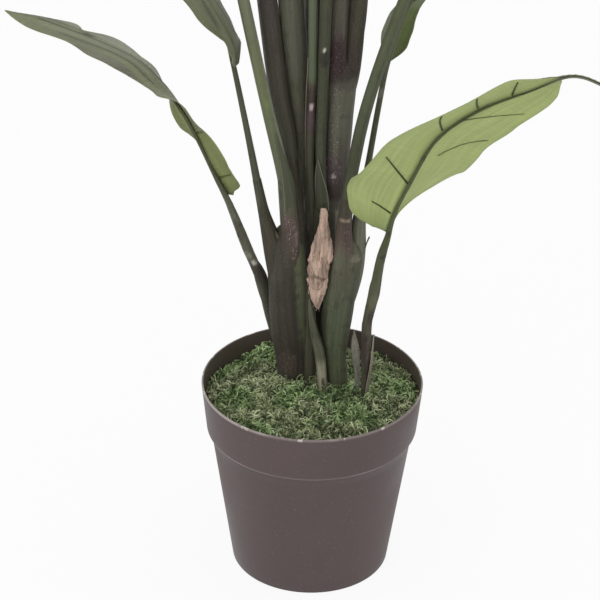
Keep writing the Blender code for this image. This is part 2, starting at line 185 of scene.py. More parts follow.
def makeFloorFinish():
    material = bpy.data.materials.new("floorPaper")
    material.use_nodes = True
    tree = material.node_tree
    shader = tree.nodes["Principled BSDF"]
    shader.inputs["Roughness"].default_value = 0.9
    shader.inputs["Specular IOR Level"].default_value = 0.1
    mottle = noise(tree, objectPlace(tree), studio["floorMottle"])
    second = tuple(part * studio["floorTone"] for part in studio["floorColour"])
    feed(tree, shader.inputs["Base Color"], mixColour(tree, mottle, studio["floorColour"], second))
    white = addNode(tree, "ShaderNodeEmission", {"Color": (1, 1, 1, 1), "Strength": 1.0})
    factor = times(tree, seenRay(tree), studio["floorWhitening"])
    blend = addNode(tree, "ShaderNodeMixShader", {0: factor, 1: shader, 2: white})
    feed(tree, tree.nodes["Material Output"].inputs["Surface"], blend)
    return material


def addStudio():
    half = studio["floorSize"] / 2
    corners = [(-half, -half, 0), (half, -half, 0), (half, half, 0), (-half, half, 0)]
    mesh = bpy.data.meshes.new("floor")
    mesh.from_pydata(corners, [], [(0, 1, 2, 3)])
    mesh.materials.append(makeFloorFinish())
    addObject("floor", mesh)
    world = bpy.data.worlds.new("studio")
    world.use_nodes = True
    scene.world = world
    tree = world.node_tree
    background = tree.nodes["Background"].inputs
    feed(tree, background["Strength"], spread(tree, seenRay(tree), 0.0, 1.0, studio["worldLight"], 1.0))
    feed(tree, background["Color"], (1, 1, 1, 1))
    lamp = bpy.data.lights.new("softKey", "AREA")
    lamp.energy = studio["keyPower"]
    lamp.size = studio["keySize"]
    key = addObject("softKey", lamp)
    key.location = studio["keyPlace"]
    key.rotation_euler = (Vector(studio["keyAim"]) - key.location).to_track_quat("-Z", "Y").to_euler()


addCamera()
addStudio()
scene.view_settings.view_transform = "Standard"
print("camera, floor and light are set")


# Shader groups that several finishes share. Grain is the straightened piece: across, sideways, along.

def makeStreaks():  # long soft streaks that run with the grain
    tree, given, out = newTree("streaks", "ShaderNodeTree", {
        "Grain": "Vector", "Across": 400.0, "Along": 12.0}, {"Value": "Float"})
    stretch = combined(tree, given["Across"], given["Across"], given["Along"])
    soft = noise(tree, vectorCalc(tree, "MULTIPLY", given["Grain"], stretch), 1.0, 3.0, Roughness=0.6)
    feed(tree, out["Value"], spread(tree, soft, 0.3, 0.7))
    return tree


def makeFlecks():  # scattered small marks, or soft patches where Edge is wide
    tree, given, out = newTree("flecks", "ShaderNodeTree", {
        "Vector": "Vector", "Scale": 600.0, "Level": 0.62, "Edge": 0.05}, {"Mask": "Float"})
    top = calc(tree, "ADD", given["Level"], given["Edge"])
    spots = noise(tree, given["Vector"], given["Scale"])
    feed(tree, out["Mask"], spread(tree, spots, given["Level"], top))
    return tree


def makeCrossVeins():  # fine parallel veins that lean forward from the midrib to the edge
    tree, given, out = newTree("crossVeins", "ShaderNodeTree", {
        "Grain": "Vector", "Spacing": 0.0021, "Lean": 0.35}, {"Height": "Float", "Value": "Float"})
    across, _, along = parted(tree, given["Grain"])
    away = calc(tree, "ABSOLUTE", across)
    slanted = calc(tree, "SUBTRACT", along, times(tree, away, given["Lean"]))
    drift = noise(tree, given["Grain"], 60.0, 1.0).outputs[0]
    wandering = calc(tree, "ADD", slanted, times(tree, drift, given["Spacing"]))
    phase = calc(tree, "DIVIDE", wandering, given["Spacing"])
    wave = calc(tree, "SINE", times(tree, phase, 2 * math.pi))
    feed(tree, out["Height"], spread(tree, wave, -1.0, 1.0))
    stretch = vectorCalc(tree, "MULTIPLY", combined(tree, across, slanted, 0.0), (22.0, 700.0, 1.0))
    feed(tree, out["Value"], spread(tree, noise(tree, stretch, 1.0), 0.3, 0.7))
    return tree


def makeCloth():  # the fine over-and-under weave of the leaf fabric
    tree, given, out = newTree("cloth", "ShaderNodeTree", {
        "Grain": "Vector", "Thread": 0.0006}, {"Height": "Float"})
    across, _, along = parted(tree, given["Grain"])
    waves = []
    for part in (across, along):
        turn = times(tree, calc(tree, "DIVIDE", part, given["Thread"]), math.pi)
        waves.append(calc(tree, "SINE", turn))
    feed(tree, out["Height"], times(tree, *waves))
    return tree


groups = {tree.name: tree for tree in (makeStreaks(), makeFlecks(), makeCrossVeins(), makeCloth())}


def effect(tree, name, feeds, output=0):
    node = addNode(tree, "ShaderNodeGroup", node_tree=groups[name])
    for socket, value in feeds.items():
        feed(tree, node.inputs[socket], value)
    return node.outputs[output]


def flecks(tree, place, scale, level, edge):
    return effect(tree, "flecks", {"Vector": place, "Scale": scale, "Level": level, "Edge": edge})


def streaks(tree, grain, across, along):
    return effect(tree, "streaks", {"Grain": grain, "Across": across, "Along": along})


def newFinish(name, roughness, sheen=0.0):
    material = bpy.data.materials.new(name)
    material.use_nodes = True
    shader = material.node_tree.nodes["Principled BSDF"]
    shader.inputs["Roughness"].default_value = roughness
    shader.inputs["Specular IOR Level"].default_value = 0.28
    shader.inputs["Sheen Weight"].default_value = sheen
    return material, material.node_tree, shader.inputs


def addSurface(tree, sockets, colour, roughness, height, depth, strength):
    bump = addNode(tree, "ShaderNodeBump", {"Height": height, "Distance": depth, "Strength": strength})
    feed(tree, sockets["Base Color"], colour)
    feed(tree, sockets["Roughness"], roughness)
    feed(tree, sockets["Normal"], bump)


def makeStemFinish(name, roughness, across, contrast, browning):
    # streaked, painted plastic: its main colours are the piece's own tint
    material, tree, sockets = newFinish(name, roughness)
    grain = attributeOf(tree, "grain")
    broad = streaks(tree, grain, across, 9.0)
    fine = streaks(tree, grain, across * 4, 40.0)
    both = calc(tree, "ADD", times(tree, broad, 0.6), times(tree, fine, 0.4))
    tone = spread(tree, both, 0.0, 1.0, 1 - contrast, 1 + contrast)
    colour = scaled(tree, attributeOf(tree, "tint", "Color"), tone)
    brown = flecks(tree, grain, 90.0, 0.56, 0.12)
    colour = mixColour(tree, times(tree, brown, browning), colour, srgb(52, 44, 40))
    specks = times(tree, flecks(tree, grain, 900.0, 0.615, 0.05), attributeOf(tree, "worn", "Fac"))
    colour = mixColour(tree, specks, colour, srgb(168, 160, 150))
    dullness = spread(tree, fine, 0.0, 1.0, roughness - 0.08, roughness + 0.1)
    addSurface(tree, sockets, colour, dullness, both, 0.6 * mm, 0.7)
    return material


def makeBladeFinish(name, look):  # coated cloth: cross veins, soft creases along the blade, a pale worn edge
    material, tree, sockets = newFinish(name, look["roughness"], look["sheen"])
    sockets["Sheen Roughness"].default_value = 0.45
    grain = attributeOf(tree, "grain")
    across, outward, _ = parted(tree, grain)
    veins = effect(tree, "crossVeins", {"Grain": grain}, "Value")
    ridges = effect(tree, "crossVeins", {"Grain": grain}, "Height")
    creases = streaks(tree, grain, 150.0, 7.0)
    patches = flecks(tree, grain, 16.0, 0.35, 0.3)
    tone = calc(tree, "ADD", spread(tree, veins, 0.0, 1.0, -look["veins"], look["veins"]),
                spread(tree, creases, 0.0, 1.0, 1 - look["creases"], 1 + look["creases"]))
    tone = calc(tree, "ADD", tone, spread(tree, patches, 0.0, 1.0, -0.05, 0.05))
    colour = scaled(tree, attributeOf(tree, "tint", "Color"), tone)
    edge = times(tree, spread(tree, outward, 0.955, 1.0), look["edging"])
    colour = mixColour(tree, edge, colour, look["edgeColour"])
    seam = spread(tree, calc(tree, "ABSOLUTE", across), 0.4 * mm, 2.2 * mm, look["seam"], 0.0)
    colour = mixColour(tree, seam, colour, look["seamColour"])
    dullness = spread(tree, creases, 0.0, 1.0, look["roughness"] + 0.08, look["roughness"] - 0.08)
    weave = effect(tree, "cloth", {"Grain": grain})
    height = calc(tree, "ADD", ridges, times(tree, weave, 0.03))
    height = calc(tree, "ADD", height, times(tree, creases, 1.6))
    addSurface(tree, sockets, colour, dullness, height, 0.18 * mm, look["relief"])
    return material


def makeMossFinish(name, dark, middle, bright):
    material, tree, sockets = newFinish(name, 0.85)
    place = objectPlace(tree)
    ramp = addNode(tree, "ShaderNodeValToRGB")
    tufts = times(tree, spread(tree, noise(tree, place, 110.0), 0.36, 0.64), 0.45)
    feed(tree, ramp.inputs[0], calc(tree, "ADD", times(tree, attributeOf(tree, "shade", "Fac"), 0.55), tufts))
    stops = ramp.color_ramp.elements
    stops[0].position, stops[0].color = 0.12, (*dark, 1)
    stops[1].position, stops[1].color = 0.95, (*bright, 1)
    stops.new(0.5).color = (*middle, 1)
    fresh = spread(tree, noise(tree, place, 34.0), 0.44, 0.62, 0.0, 0.8)
    lively = mixColour(tree, 1.0, ramp.outputs[0], (0.86, 1.1, 0.82), "MULTIPLY")
    colour = mixColour(tree, fresh, ramp.outputs[0], lively)
    addSurface(tree, sockets, colour, None, noise(tree, place, 1400.0, 1.0), 0.3 * mm, 0.8)
    return material


def makeCementFinish():
    material, tree, sockets = newFinish("castCement", 0.92)
    place = objectPlace(tree)
    clouds = flecks(tree, place, 30.0, 0.35, 0.3)
    colour = mixColour(tree, clouds, srgb(150, 148, 142), srgb(168, 165, 158))
    pits = flecks(tree, place, 420.0, 0.64, 0.05)
    colour = mixColour(tree, pits, colour, srgb(105, 102, 98))
    addSurface(tree, sockets, colour, spread(tree, clouds, 0.0, 1.0, 0.86, 0.96), pits, -0.6 * mm, 0.8)
    return material


def makeScaleFinish(name, light, dark, torn, crackTone):  # dry fibrous scale, cracked into long plates
    material, tree, sockets = newFinish(name, 0.85)
    grain = attributeOf(tree, "grain")
    fibres = streaks(tree, grain, 520.0, 45.0)
    colour = mixColour(tree, fibres, dark, light)
    patches = flecks(tree, grain, 110.0, 0.45, 0.15)
    colour = mixColour(tree, times(tree, patches, 0.5), colour, torn)
    # the shade attribute scales the colour; on the husk scale it is painted shade, darker where the relief is
    # low
    colour = scaled(tree, colour, spread(tree, attributeOf(tree, "shade", "Fac"), 0.0, 1.0, 0.4, 1.08))
    bent = scaled(tree, noise(tree, grain, 260.0, 1.0).outputs["Color"], 0.004)
    cells = vectorCalc(tree, "ADD", vectorCalc(tree, "MULTIPLY", grain, (1.0, 1.0, 0.6)), bent)
    plates = addNode(
        tree, "ShaderNodeTexVoronoi", {"Vector": cells, "Scale": 210.0}, feature="DISTANCE_TO_EDGE")
    colour = scaled(tree, colour, spread(tree, plates, 0.0, 0.13, crackTone, 1.24))
    addSurface(tree, sockets, colour, spread(tree, fibres, 0.0, 1.0, 0.92, 0.78), fibres, 0.3 * mm, 0.6)
    return material


# Paths, meshes and sheets

rowsPerSpan = 24


def smoothPath(points, perSpan=rowsPerSpan):  # Catmull-Rom through the points, any number of columns
    rows = np.array(points, float)
    rows = np.vstack([2 * rows[0] - rows[1], rows, 2 * rows[-1] - rows[-2]])
    t = (np.arange(perSpan) / perSpan)[:, None]
    spans = []
    for before, start, end, after in zip(rows, rows[1:], rows[2:], rows[3:]):
        pull = (end - before) * t + (2 * before - 5 * start + 4 * end - after) * t ** 2
        spans.append(start + (pull + (3 * start - before - 3 * end + after) * t ** 3) / 2)
    return np.vstack([*spans, rows[-2:-1]])


def halfWidths(edges, share):  # what the table of shares and half widths in mm gives at each share
    table = smoothPath(edges, 12)
    return [np.interp(share, table[:, 0], table[:, side]) * mm for side in (1, 2)]


def lengthsAlong(places):
    return np.concatenate([[0], np.cumsum(np.linalg.norm(np.diff(places, axis=0), axis=1))])


def evenly(rows, spacing):  # the same path with its rows a near-equal distance apart
    reached = lengthsAlong(rows[:, :3])
    stations = np.linspace(0, reached[-1], max(4, round(reached[-1] / spacing)))
    return np.stack([np.interp(stations, reached, column) for column in rows.T], 1)


def unit(vectors):
    return vectors / np.maximum(np.linalg.norm(vectors, axis=-1, keepdims=True), 1e-9)


def frameAlong(places, towards):  # tangents, and the wished direction made square to each
    tangents = unit(np.gradient(places, axis=0))
    return tangents, unit(towards - tangents * (tangents @ towards)[:, None])


def setAttribute(mesh, name, values):
    kind, field = {1: ("FLOAT", "value"), 3: ("FLOAT_VECTOR", "vector"), 4: ("FLOAT_COLOR", "color")}[
        1 if values.ndim == 1 else values.shape[1]]
    layer = mesh.attributes.get(name) or mesh.attributes.new(name, kind, "POINT")
    layer.data.foreach_set(field, np.ascontiguousarray(values, np.float32).ravel())


def readPoints(layer, field):
    values = np.empty(len(layer) * 3, np.float32)
    layer.foreach_get(field, values)
    return values.reshape(-1, 3)


def placesOf(mesh):
    return readPoints(mesh.vertices, "co")


def setPlaces(mesh, places):
    mesh.vertices.foreach_set("co", places.ravel())


def paint(mesh, colours, worn=0.0):
    count = len(mesh.vertices)
    setAttribute(mesh, "tint", np.hstack([np.broadcast_to(colours, (count, 3)), np.ones((count, 1))]))
    setAttribute(mesh, "worn", np.broadcast_to(worn, count))


def twice(grid):  # a grid's values for both faces of a closed sheet
    return np.concatenate([grid.ravel()] * 2)


def gridFaces(rows, columns):
    index = np.arange(rows * columns).reshape(rows, columns)
    sides = (index[:-1, :-1], index[:-1, 1:], index[1:, 1:], index[1:, :-1])
    return index, np.stack([part.ravel() for part in sides], 1)


def closedSheet(name, outer, inner, grain, materials):
    # outer and inner are grids of points, rows along and columns across; the rim joins them
    index, top = gridFaces(*outer.shape[:2])
    ring = np.concatenate([index[0, :], index[1:, -1], index[-1, -2::-1], index[-2:0:-1, 0]])
    after = np.roll(ring, -1)
    rim = np.stack([after, ring, ring + index.size, after + index.size], 1)
    places = np.concatenate([outer.reshape(-1, 3), inner.reshape(-1, 3)])
    mesh = bpy.data.meshes.new(name)
    mesh.from_pydata(places, [], np.concatenate([top, top[:, ::-1] + index.size, rim]).tolist())
    for material in materials:
        mesh.materials.append(material)
    slots = np.zeros(len(mesh.polygons), np.int32)
    slots[len(top):] = len(materials) - 1
    mesh.polygons.foreach_set("material_index", slots)
    setAttribute(mesh, "grain", np.concatenate([grain.reshape(-1, 3)] * 2))
    mesh.shade_smooth()
    shape = bmesh.new()
    shape.from_mesh(mesh)
    bmesh.ops.recalc_face_normals(shape, faces=shape.faces)
    shape.to_mesh(mesh)
    shape.free()
    return mesh


def compareBoxes(item, node):  # how far the piece's box stands from the frame's own
    places = placesOf(item.data)
    low, high = (np.array(corner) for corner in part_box(node))
    apart = max(np.abs(places.min(0) - low).max(), np.abs(places.max(0) - high).max())
    print(f"  {item.name}: {len(item.data.polygons)} faces, box within {apart / mm:.1f} mm of its solid")


def wobble(places, size):  # a cheap smooth unevenness from -1 to 1
    x, y, z = (places / size).T
    waves = np.sin(x * 1.7 + np.sin(z * 2.3)) + np.sin(y * 2.1 + np.sin(x * 1.3 + 2))
    return (waves + np.sin(z * 1.9 + y)) / 3


# What the Geometry Nodes trees share

def named(tree, name, kind="FLOAT"):
    return addNode(tree, "GeometryNodeInputNamedAttribute", {"Name": name}, data_type=kind).outputs[0]


def store(tree, geometry, name, value, kind="FLOAT"):
    feeds = {"Geometry": geometry, "Name": name, "Value": value}
    return addNode(tree, "GeometryNodeStoreNamedAttribute", feeds, data_type=kind, domain="POINT")


def roundProfile(tree, sides, radius):
    return addNode(tree, "GeometryNodeCurvePrimitiveCircle", {"Resolution": sides, "Radius": radius})


def sweep(tree, curve, profile, scale=1.0):
    feeds = {"Curve": curve, "Profile Curve": profile, "Scale": scale, "Fill Caps": True}
    return addNode(tree, "GeometryNodeCurveToMesh", feeds)


def scatter(tree, given, area):  # the amount of points that is asked for, over a ground of about that area
    density = calc(tree, "DIVIDE", given["Amount"], area)
    feeds = {"Mesh": given["Geometry"], "Density": density, "Seed": given["Seed"]}
    return addNode(tree, "GeometryNodeDistributePointsOnFaces", feeds)


def chance(tree, given, low, high, salt):  # a random number or vector for each point
    isVector = isinstance(low, tuple)
    node = addNode(tree, "FunctionNodeRandomValue", data_type="FLOAT_VECTOR" if isVector else "FLOAT")
    first = 0 if isVector else 2
    node.inputs[first].default_value = low
    node.inputs[first + 1].default_value = high
    feed(tree, node.inputs["Seed"], calc(tree, "ADD", given["Seed"], salt))
    return node.outputs[0 if isVector else 1]


def endTree(tree, out, geometry, finish):
    whole = addNode(tree, "GeometryNodeRealizeInstances", {"Geometry": geometry})
    feed(tree, out[0], addNode(tree, "GeometryNodeSetMaterial", {"Geometry": whole, "Material": finish}))
    return tree


def grow(name, ground, tree, values):  # runs a tree on a mesh and keeps the plain mesh that comes out
    item = addObject(name, ground)
    modifier = item.modifiers.new(tree.name, "NODES")
    modifier.node_group = tree
    for socket in tree.interface.items_tree:
        if socket.item_type == "SOCKET" and socket.in_out == "INPUT" and socket.name in values:
            modifier[socket.identifier] = values[socket.name]
    graph = bpy.context.evaluated_depsgraph_get()
    item.data = bpy.data.meshes.new_from_object(
        item.evaluated_get(graph), preserve_all_data_layers=True, depsgraph=graph)
    item.data.name = name
    item.modifiers.remove(modifier)
    bpy.data.meshes.remove(ground)
    return item


# Stems: a tree that sweeps a ribbed, channelled and knobbly tube along a path

def makeStemTree():
    tree, given, out = newTree("stem", "GeometryNodeTree", {
        "Geometry": "Geometry", "Sides": 24, "Ribs": 12, "Rib Depth": 0.04, "Channel Depth": 0.1,
        "Knobs": 0.1, "Knob Scale": 60.0, "Seed": 1, "Finish": "Material"}, {"Geometry": "Geometry"})
    place = tree.nodes.new("GeometryNodeInputPosition").outputs[0]
    spline = tree.nodes.new("GeometryNodeSplineParameter").outputs
    path = addNode(tree, "GeometryNodeMeshToCurve", {"Mesh": given["Geometry"]})
    path = store(tree, path, "centre", place, "FLOAT_VECTOR")
    path = store(tree, path, "along", spline["Length"])
    ring = store(tree, roundProfile(tree, given["Sides"], 1.0), "around", spline["Factor"])
    thick = named(tree, "thick")
    swept = sweep(tree, path, ring, thick)
    centre = named(tree, "centre", "FLOAT_VECTOR")
    away = vectorCalc(tree, "NORMALIZE", vectorCalc(tree, "SUBTRACT", place, centre))
    turn = times(tree, named(tree, "around"), 2 * math.pi)
    rib = calc(tree, "COSINE", times(tree, turn, given["Ribs"]))
    rib = times(tree, calc(tree, "MULTIPLY_ADD", rib, 0.5, -0.5), given["Rib Depth"])
    facing = vectorCalc(tree, "DOT_PRODUCT", away, named(tree, "facing", "FLOAT_VECTOR"))
    channel = times(tree, spread(tree, facing, 0.45, 1.0), given["Channel Depth"])
    shifted = vectorCalc(tree, "ADD", place, times(tree, given["Seed"], 3.7))
    drawn = vectorCalc(tree, "MULTIPLY", shifted, (1.0, 1.0, 0.45))
    uneven = calc(tree, "SUBTRACT", noise(tree, drawn, given["Knob Scale"]), 0.5)
    lift = calc(tree, "SUBTRACT", calc(tree, "ADD", rib, times(tree, uneven, given["Knobs"])), channel)
    shaped = addNode(tree, "GeometryNodeSetPosition", {
        "Geometry": swept, "Offset": scaled(tree, away, times(tree, lift, thick))})
    across = times(tree, calc(tree, "COSINE", turn), thick)
    sideways = times(tree, calc(tree, "SINE", turn), thick)
    grain = combined(tree, across, sideways, named(tree, "along"))
    shaped = store(tree, shaped, "grain", grain, "FLOAT_VECTOR")
    shaped = addNode(tree, "GeometryNodeSetShadeSmooth", {"Geometry": shaped})
    return endTree(tree, out, shaped, given["Finish"])


stemTree = makeStemTree()
paintLook = {
    "brightness": 1.28,  # the bundled stems shade each other
    "drift": 3 * mm, "driftSize": 9 * mm, "ragged": 0.18, "raggedSize": 3 * mm, "flecks": 0.12,
}


def makeStem(name, rows, facing, shape, finish, look):
    mesh = bpy.data.meshes.new(name)
    mesh.from_pydata(rows[:, :3], [(n, n + 1) for n in range(len(rows) - 1)], [])
    setAttribute(mesh, "thick", rows[:, 3])
    setAttribute(mesh, "facing", facing)
    item = grow(name, mesh, stemTree, {**shape, "Seed": look["seed"], "Finish": finish})
    paintStem(item.data, look["stops"], look["spots"])
    return item


def blendIn(colours, weight, colour):
    return colours + (np.array(colour) - colours) * weight[:, None]


def paintStem(mesh, stops, spots):
    # stops: height in mm and colour. spots: height, angle, half height, half angle, colour, strength, flecks,
    # where the angle goes in degrees round the stem's centre line, from 0 in front to 90 at the right
    places = placesOf(mesh)
    away = places - readPoints(mesh.attributes["centre"].data, "vector")
    angles = np.degrees(np.arctan2(away[:, 0], -away[:, 1]))
    heights = [stop[0] * mm for stop in stops]
    table = np.array([srgb(*stop[1]) for stop in stops])
    z = places[:, 2] + wobble(places, paintLook["driftSize"]) * paintLook["drift"]
    colours = np.stack([np.interp(z, heights, column) for column in table.T], 1) * paintLook["brightness"]
    worn = np.full(len(places), paintLook["flecks"])
    ragged = paintLook["ragged"] * wobble(places, paintLook["raggedSize"])
    for height, angle, tall, wide, colour, strength, fleckShare in spots:
        apart = (angles - angle + 180) % 360 - 180
        reach = np.hypot((z - height * mm) / (tall * mm), apart / wide) + ragged
        weight = np.clip((1.05 - reach) / 0.35, 0, 1) * strength
        colours = blendIn(colours, weight, np.array(srgb(*colour)) * paintLook["brightness"])
        worn = worn + (fleckShare - worn) * np.clip((1.15 - reach) / 0.4, 0, 1)
    paint(mesh, colours, worn)


# Pot: turned from its outline, with a rolled lip, a soft step under the band and a rounded foot

potLook = {
    "height": 156.5 * mm, "rimRadius": 85 * mm, "bandFootRadius": 81 * mm, "bandFootZ": 119 * mm,
    "bodyTopRadius": 77.7 * mm, "baseRadius": 60.5 * mm, "stepHeight": 3 * mm, "wall": 1.6 * mm,
    "floor": 3 * mm, "corner": 1.5 * mm, "lip": 0.8 * mm, "segments": 160,
    "colour": srgb(88, 75, 75), "cloudColour": srgb(94, 81, 80), "litLiningColour": srgb(94, 85, 76),
    "wornAndHighlightColour": srgb(176, 165, 160), "gritColour": srgb(140, 132, 128), "chipColour": srgb(205, 198, 190),
    "roughness": 0.5, "grit": 0.35, "stepWearAndHighlight": 0.55,
}


def makePotFinish():
    look = potLook
    material, tree, sockets = newFinish("potPlastic", look["roughness"])
    place = objectPlace(tree)
    height = parted(tree, place)[2]
    clouds = flecks(tree, place, 14.0, 0.3, 0.4)
    colour = mixColour(tree, clouds, look["colour"], look["cloudColour"])
    lining = attributeOf(tree, "lining", "Fac")
    outside = calc(tree, "SUBTRACT", 1.0, lining)
    # painted light: the inner wall is painted lighter than the outside plastic, to lift the shade inside the
    # pot
    colour = mixColour(tree, lining, colour, look["litLiningColour"])
    grit = times(tree, flecks(tree, place, 700.0, 0.66, 0.06), look["grit"])
    colour = mixColour(tree, grit, colour, look["gritColour"])
    # painted highlight and wear: the lip and the step under the band are painted pale, partly as rubbed wear
    # and partly as their highlight lines
    lip = spread(tree, height, look["height"] - 2.6 * mm, look["height"] - 0.6 * mm)
    bend = calc(tree, "ABSOLUTE", calc(tree, "SUBTRACT", height, look["bandFootZ"] - 0.6 * mm))
    step = times(tree, spread(tree, bend, 0.4 * mm, 1.3 * mm, 1.0, 0.0), look["stepWearAndHighlight"])
    patchy = calc(tree, "ADD", 0.4, times(tree, flecks(tree, place, 24.0, 0.42, 0.22), 0.6))
    rubbedAndHighlit = times(tree, calc(tree, "MAXIMUM", lip, step), patchy)
    colour = mixColour(tree, times(tree, rubbedAndHighlit, outside), colour, look["wornAndHighlightColour"])
    scuffs = flecks(tree, vectorCalc(tree, "MULTIPLY", place, (1.0, 1.0, 0.35)), 170.0, 0.60, 0.06)
    chips = times(tree, times(tree, scuffs, lip), outside)
    colour = mixColour(tree, chips, colour, look["chipColour"])
    dullness = spread(tree, clouds, 0.0, 1.0, look["roughness"] - 0.06, look["roughness"] + 0.06)
    addSurface(tree, sockets, colour, dullness, noise(tree, place, 1500.0), 0.1 * mm, 0.6)
    return material


def potRadius(z):
    look = potLook
    if z >= look["bandFootZ"]:
        share = (z - look["bandFootZ"]) / (look["height"] - look["bandFootZ"])
        return look["bandFootRadius"] + (look["rimRadius"] - look["bandFootRadius"]) * share
    bodyTop = look["bandFootZ"] - look["stepHeight"]
    if z < bodyTop:
        return look["baseRadius"] + (look["bodyTopRadius"] - look["baseRadius"]) * z / bodyTop
    swing = math.sin((z - bodyTop) / look["stepHeight"] * math.pi / 2)
    return look["bodyTopRadius"] + (look["bandFootRadius"] - look["bodyTopRadius"]) * swing


def innerRadii(places):
    return np.array([potRadius(min(z, potLook["height"])) for z in places[:, 2]]) - potLook["wall"]


def levels(low, high, count):  # heights above the low one, up to the high one
    return [low + (high - low) * n / count for n in range(1, count + 1)]


def potOutline():  # from the axis up the inner wall, over the lip, down the outside and back to the axis
    look = potLook
    corner, floor, wall = look["corner"], look["floor"], look["wall"]
    bodyTop = look["bandFootZ"] - look["stepHeight"]
    top = look["height"] - look["lip"]
    heights = [corner, *levels(corner, bodyTop, 14), *levels(bodyTop, look["bandFootZ"], 6)]
    heights += levels(look["bandFootZ"], top, 6)
    middle = look["baseRadius"] * 0.5
    inside = [(potRadius(z) - wall, z) for z in heights if z > floor]
    inside = [(0, floor), (middle, floor), (inside[0][0], floor), *inside]
    lip = []
    for step in range(1, 8):
        turn = math.pi * (1 - step / 8)
        radius = potRadius(top) - wall / 2 + wall / 2 * math.cos(turn)
        lip.append((radius, top + look["lip"] * math.sin(turn)))
    foot = []
    for step in range(1, 6):
        turn = math.radians(90 * step / 5)
        foot.append((look["baseRadius"] - corner + corner * math.cos(turn), corner - corner * math.sin(turn)))
    outside = [(potRadius(z), z) for z in reversed(heights)]
    return [*inside, *lip, *outside, *foot, (middle, 0), (0, 0)]


def makeTurned(name, outline, segments, finish):
    # the outline starts and ends on the axis; the faces are always made in the same order, because the moss
    # curls are scattered by it
    (_, startZ), *sides, (_, endZ) = outline
    radii, heights = np.array(sides)[:, :, None].transpose(1, 0, 2)
    turns = 2 * math.pi * np.arange(segments) / segments
    rings = np.stack([radii * np.cos(turns), radii * np.sin(turns), heights + 0 * turns], 2)
    index = np.arange(rings.shape[0] * segments).reshape(-1, segments)
    after = np.roll(index, -1, 1)
    start, end = index.size, index.size + 1
    faces = np.stack([index[:-1], index[1:], after[1:], after[:-1]], 2).reshape(-1, 4).tolist()
    faces += [(start, here, there) for here, there in zip(index[0].tolist(), after[0].tolist())]
    faces += [(here, end, there) for here, there in zip(index[-1].tolist(), after[-1].tolist())]
    mesh = bpy.data.meshes.new(name)
    mesh.from_pydata(np.vstack([rings.reshape(-1, 3), (0, 0, startZ), (0, 0, endZ)]), [], faces)
    mesh.materials.append(finish)
    mesh.shade_smooth()
    return mesh


def makePot():
    mesh = makeTurned("pot_shell", potOutline(), potLook["segments"], makePotFinish())
    places = placesOf(mesh)
    within = np.hypot(places[:, 0], places[:, 1]) < innerRadii(places) + potLook["wall"] * 0.25
    setAttribute(mesh, "lining", (within & (places[:, 2] > potLook["floor"] * 0.9)).astype(float))
    compareBoxes(finishPiece(addObject("pot_shell", mesh), "pot_plastic", "pot"), "pot")


makePot()
block = bpy.data.objects["potting_filler"]
block.data.materials.clear()
block.data.materials.append(makeCementFinish())
print("pot and cast block are made")


# Moss: a lumpy bed, and curls that Geometry Nodes scatter over it

mossLook = {
    "bottomZ": 134.3 * mm, "edgeZ": 146 * mm, "crown": 9 * mm, "tilt": 4 * mm, "lump": 0.9 * mm,
    "heaps": [(-34, 52, 11, 12), (-56, 44, 12, -5), (44, 46, 12, 5), (30, -52, 16, 2.5), (-50, -30, 14, 2.5),
              (-20, -6, 13, 6), (22, -14, 10, 3)],  # x, y, radius and rise in mm
    "rings": 60, "segments": 180, "roughLump": 1.7 * mm,
    "area": 0.0182,  # of the bed's top, in square metres
    "curls": 2, "perBed": 3150, "curlFootZ": 138 * mm, "curlMargin": 1.2 * mm, "thickness": 0.52 * mm,
    "seed": 5,
    "curlShapes": [(0.9, 0.6, 2.3, 2.6), (0.55, 1.4, 3.4, 3.6), (1.25, 0.7, 1.7, 2.0)],  # turns, radii, rise
    "bedColours": [srgb(40, 50, 32), srgb(66, 78, 48), srgb(96, 112, 66)],
    "curlColours": [srgb(76, 86, 60), srgb(144, 154, 114), srgb(220, 227, 186)],
}


def mossHeight(x, y):
    look = mossLook
    reach = np.hypot(x, y) / potLook["bodyTopRadius"]
    mound = look["crown"] * np.maximum(0, 1 - reach ** 2)
    lumps = np.sin(x / (9 * mm)) * np.cos(y / (8 * mm)) + np.sin((x + 2 * y) / (15 * mm))
    height = look["edgeZ"] + mound - look["tilt"] * y / potLook["bodyTopRadius"] + look["lump"] * lumps
    for middleX, middleY, radius, rise in look["heaps"]:
        apart = np.hypot(x - middleX * mm, y - middleY * mm) / (radius * mm)
        height = height + rise * mm * np.exp(-apart ** 2)
    return height


def makeCurlTree():
    tree, given, out = newTree("mossCurls", "GeometryNodeTree", {
        "Geometry": "Geometry", "Amount": 3000, "Thickness": 0.0004, "Seed": 0, "Finish": "Material"},
        {"Geometry": "Geometry"})
    dots = scatter(tree, given, mossLook["area"])
    dots = store(tree, dots, "shade", chance(tree, given, 0.0, 1.0, 11))
    bits = tree.nodes.new("GeometryNodeJoinGeometry")
    for turns, start, end, rise in mossLook["curlShapes"]:
        curl = addNode(tree, "GeometryNodeCurveSpiral", {
            "Resolution": round(6 / turns), "Rotations": turns, "Start Radius": start * mm,
            "End Radius": end * mm, "Height": rise * mm})
        strand = sweep(tree, curl, roundProfile(tree, 3, given["Thickness"]))
        feed(tree, bits.inputs[0], addNode(tree, "GeometryNodeGeometryToInstance", {0: strand}))
    turn = chance(tree, given, (0, 0, 0), (2 * math.pi,) * 3, 23)
    width, depth = (chance(tree, given, 0.8, 1.4, salt) for salt in (31, 37))
    placed = addNode(tree, "GeometryNodeInstanceOnPoints", {
        "Points": dots, "Instance": bits, "Pick Instance": True,
        "Rotation": addNode(tree, "FunctionNodeEulerToRotation", {0: turn}),
        "Scale": combined(tree, width, depth, chance(tree, given, 0.6, 1.5, 41))})
    return endTree(tree, out, placed, given["Finish"])


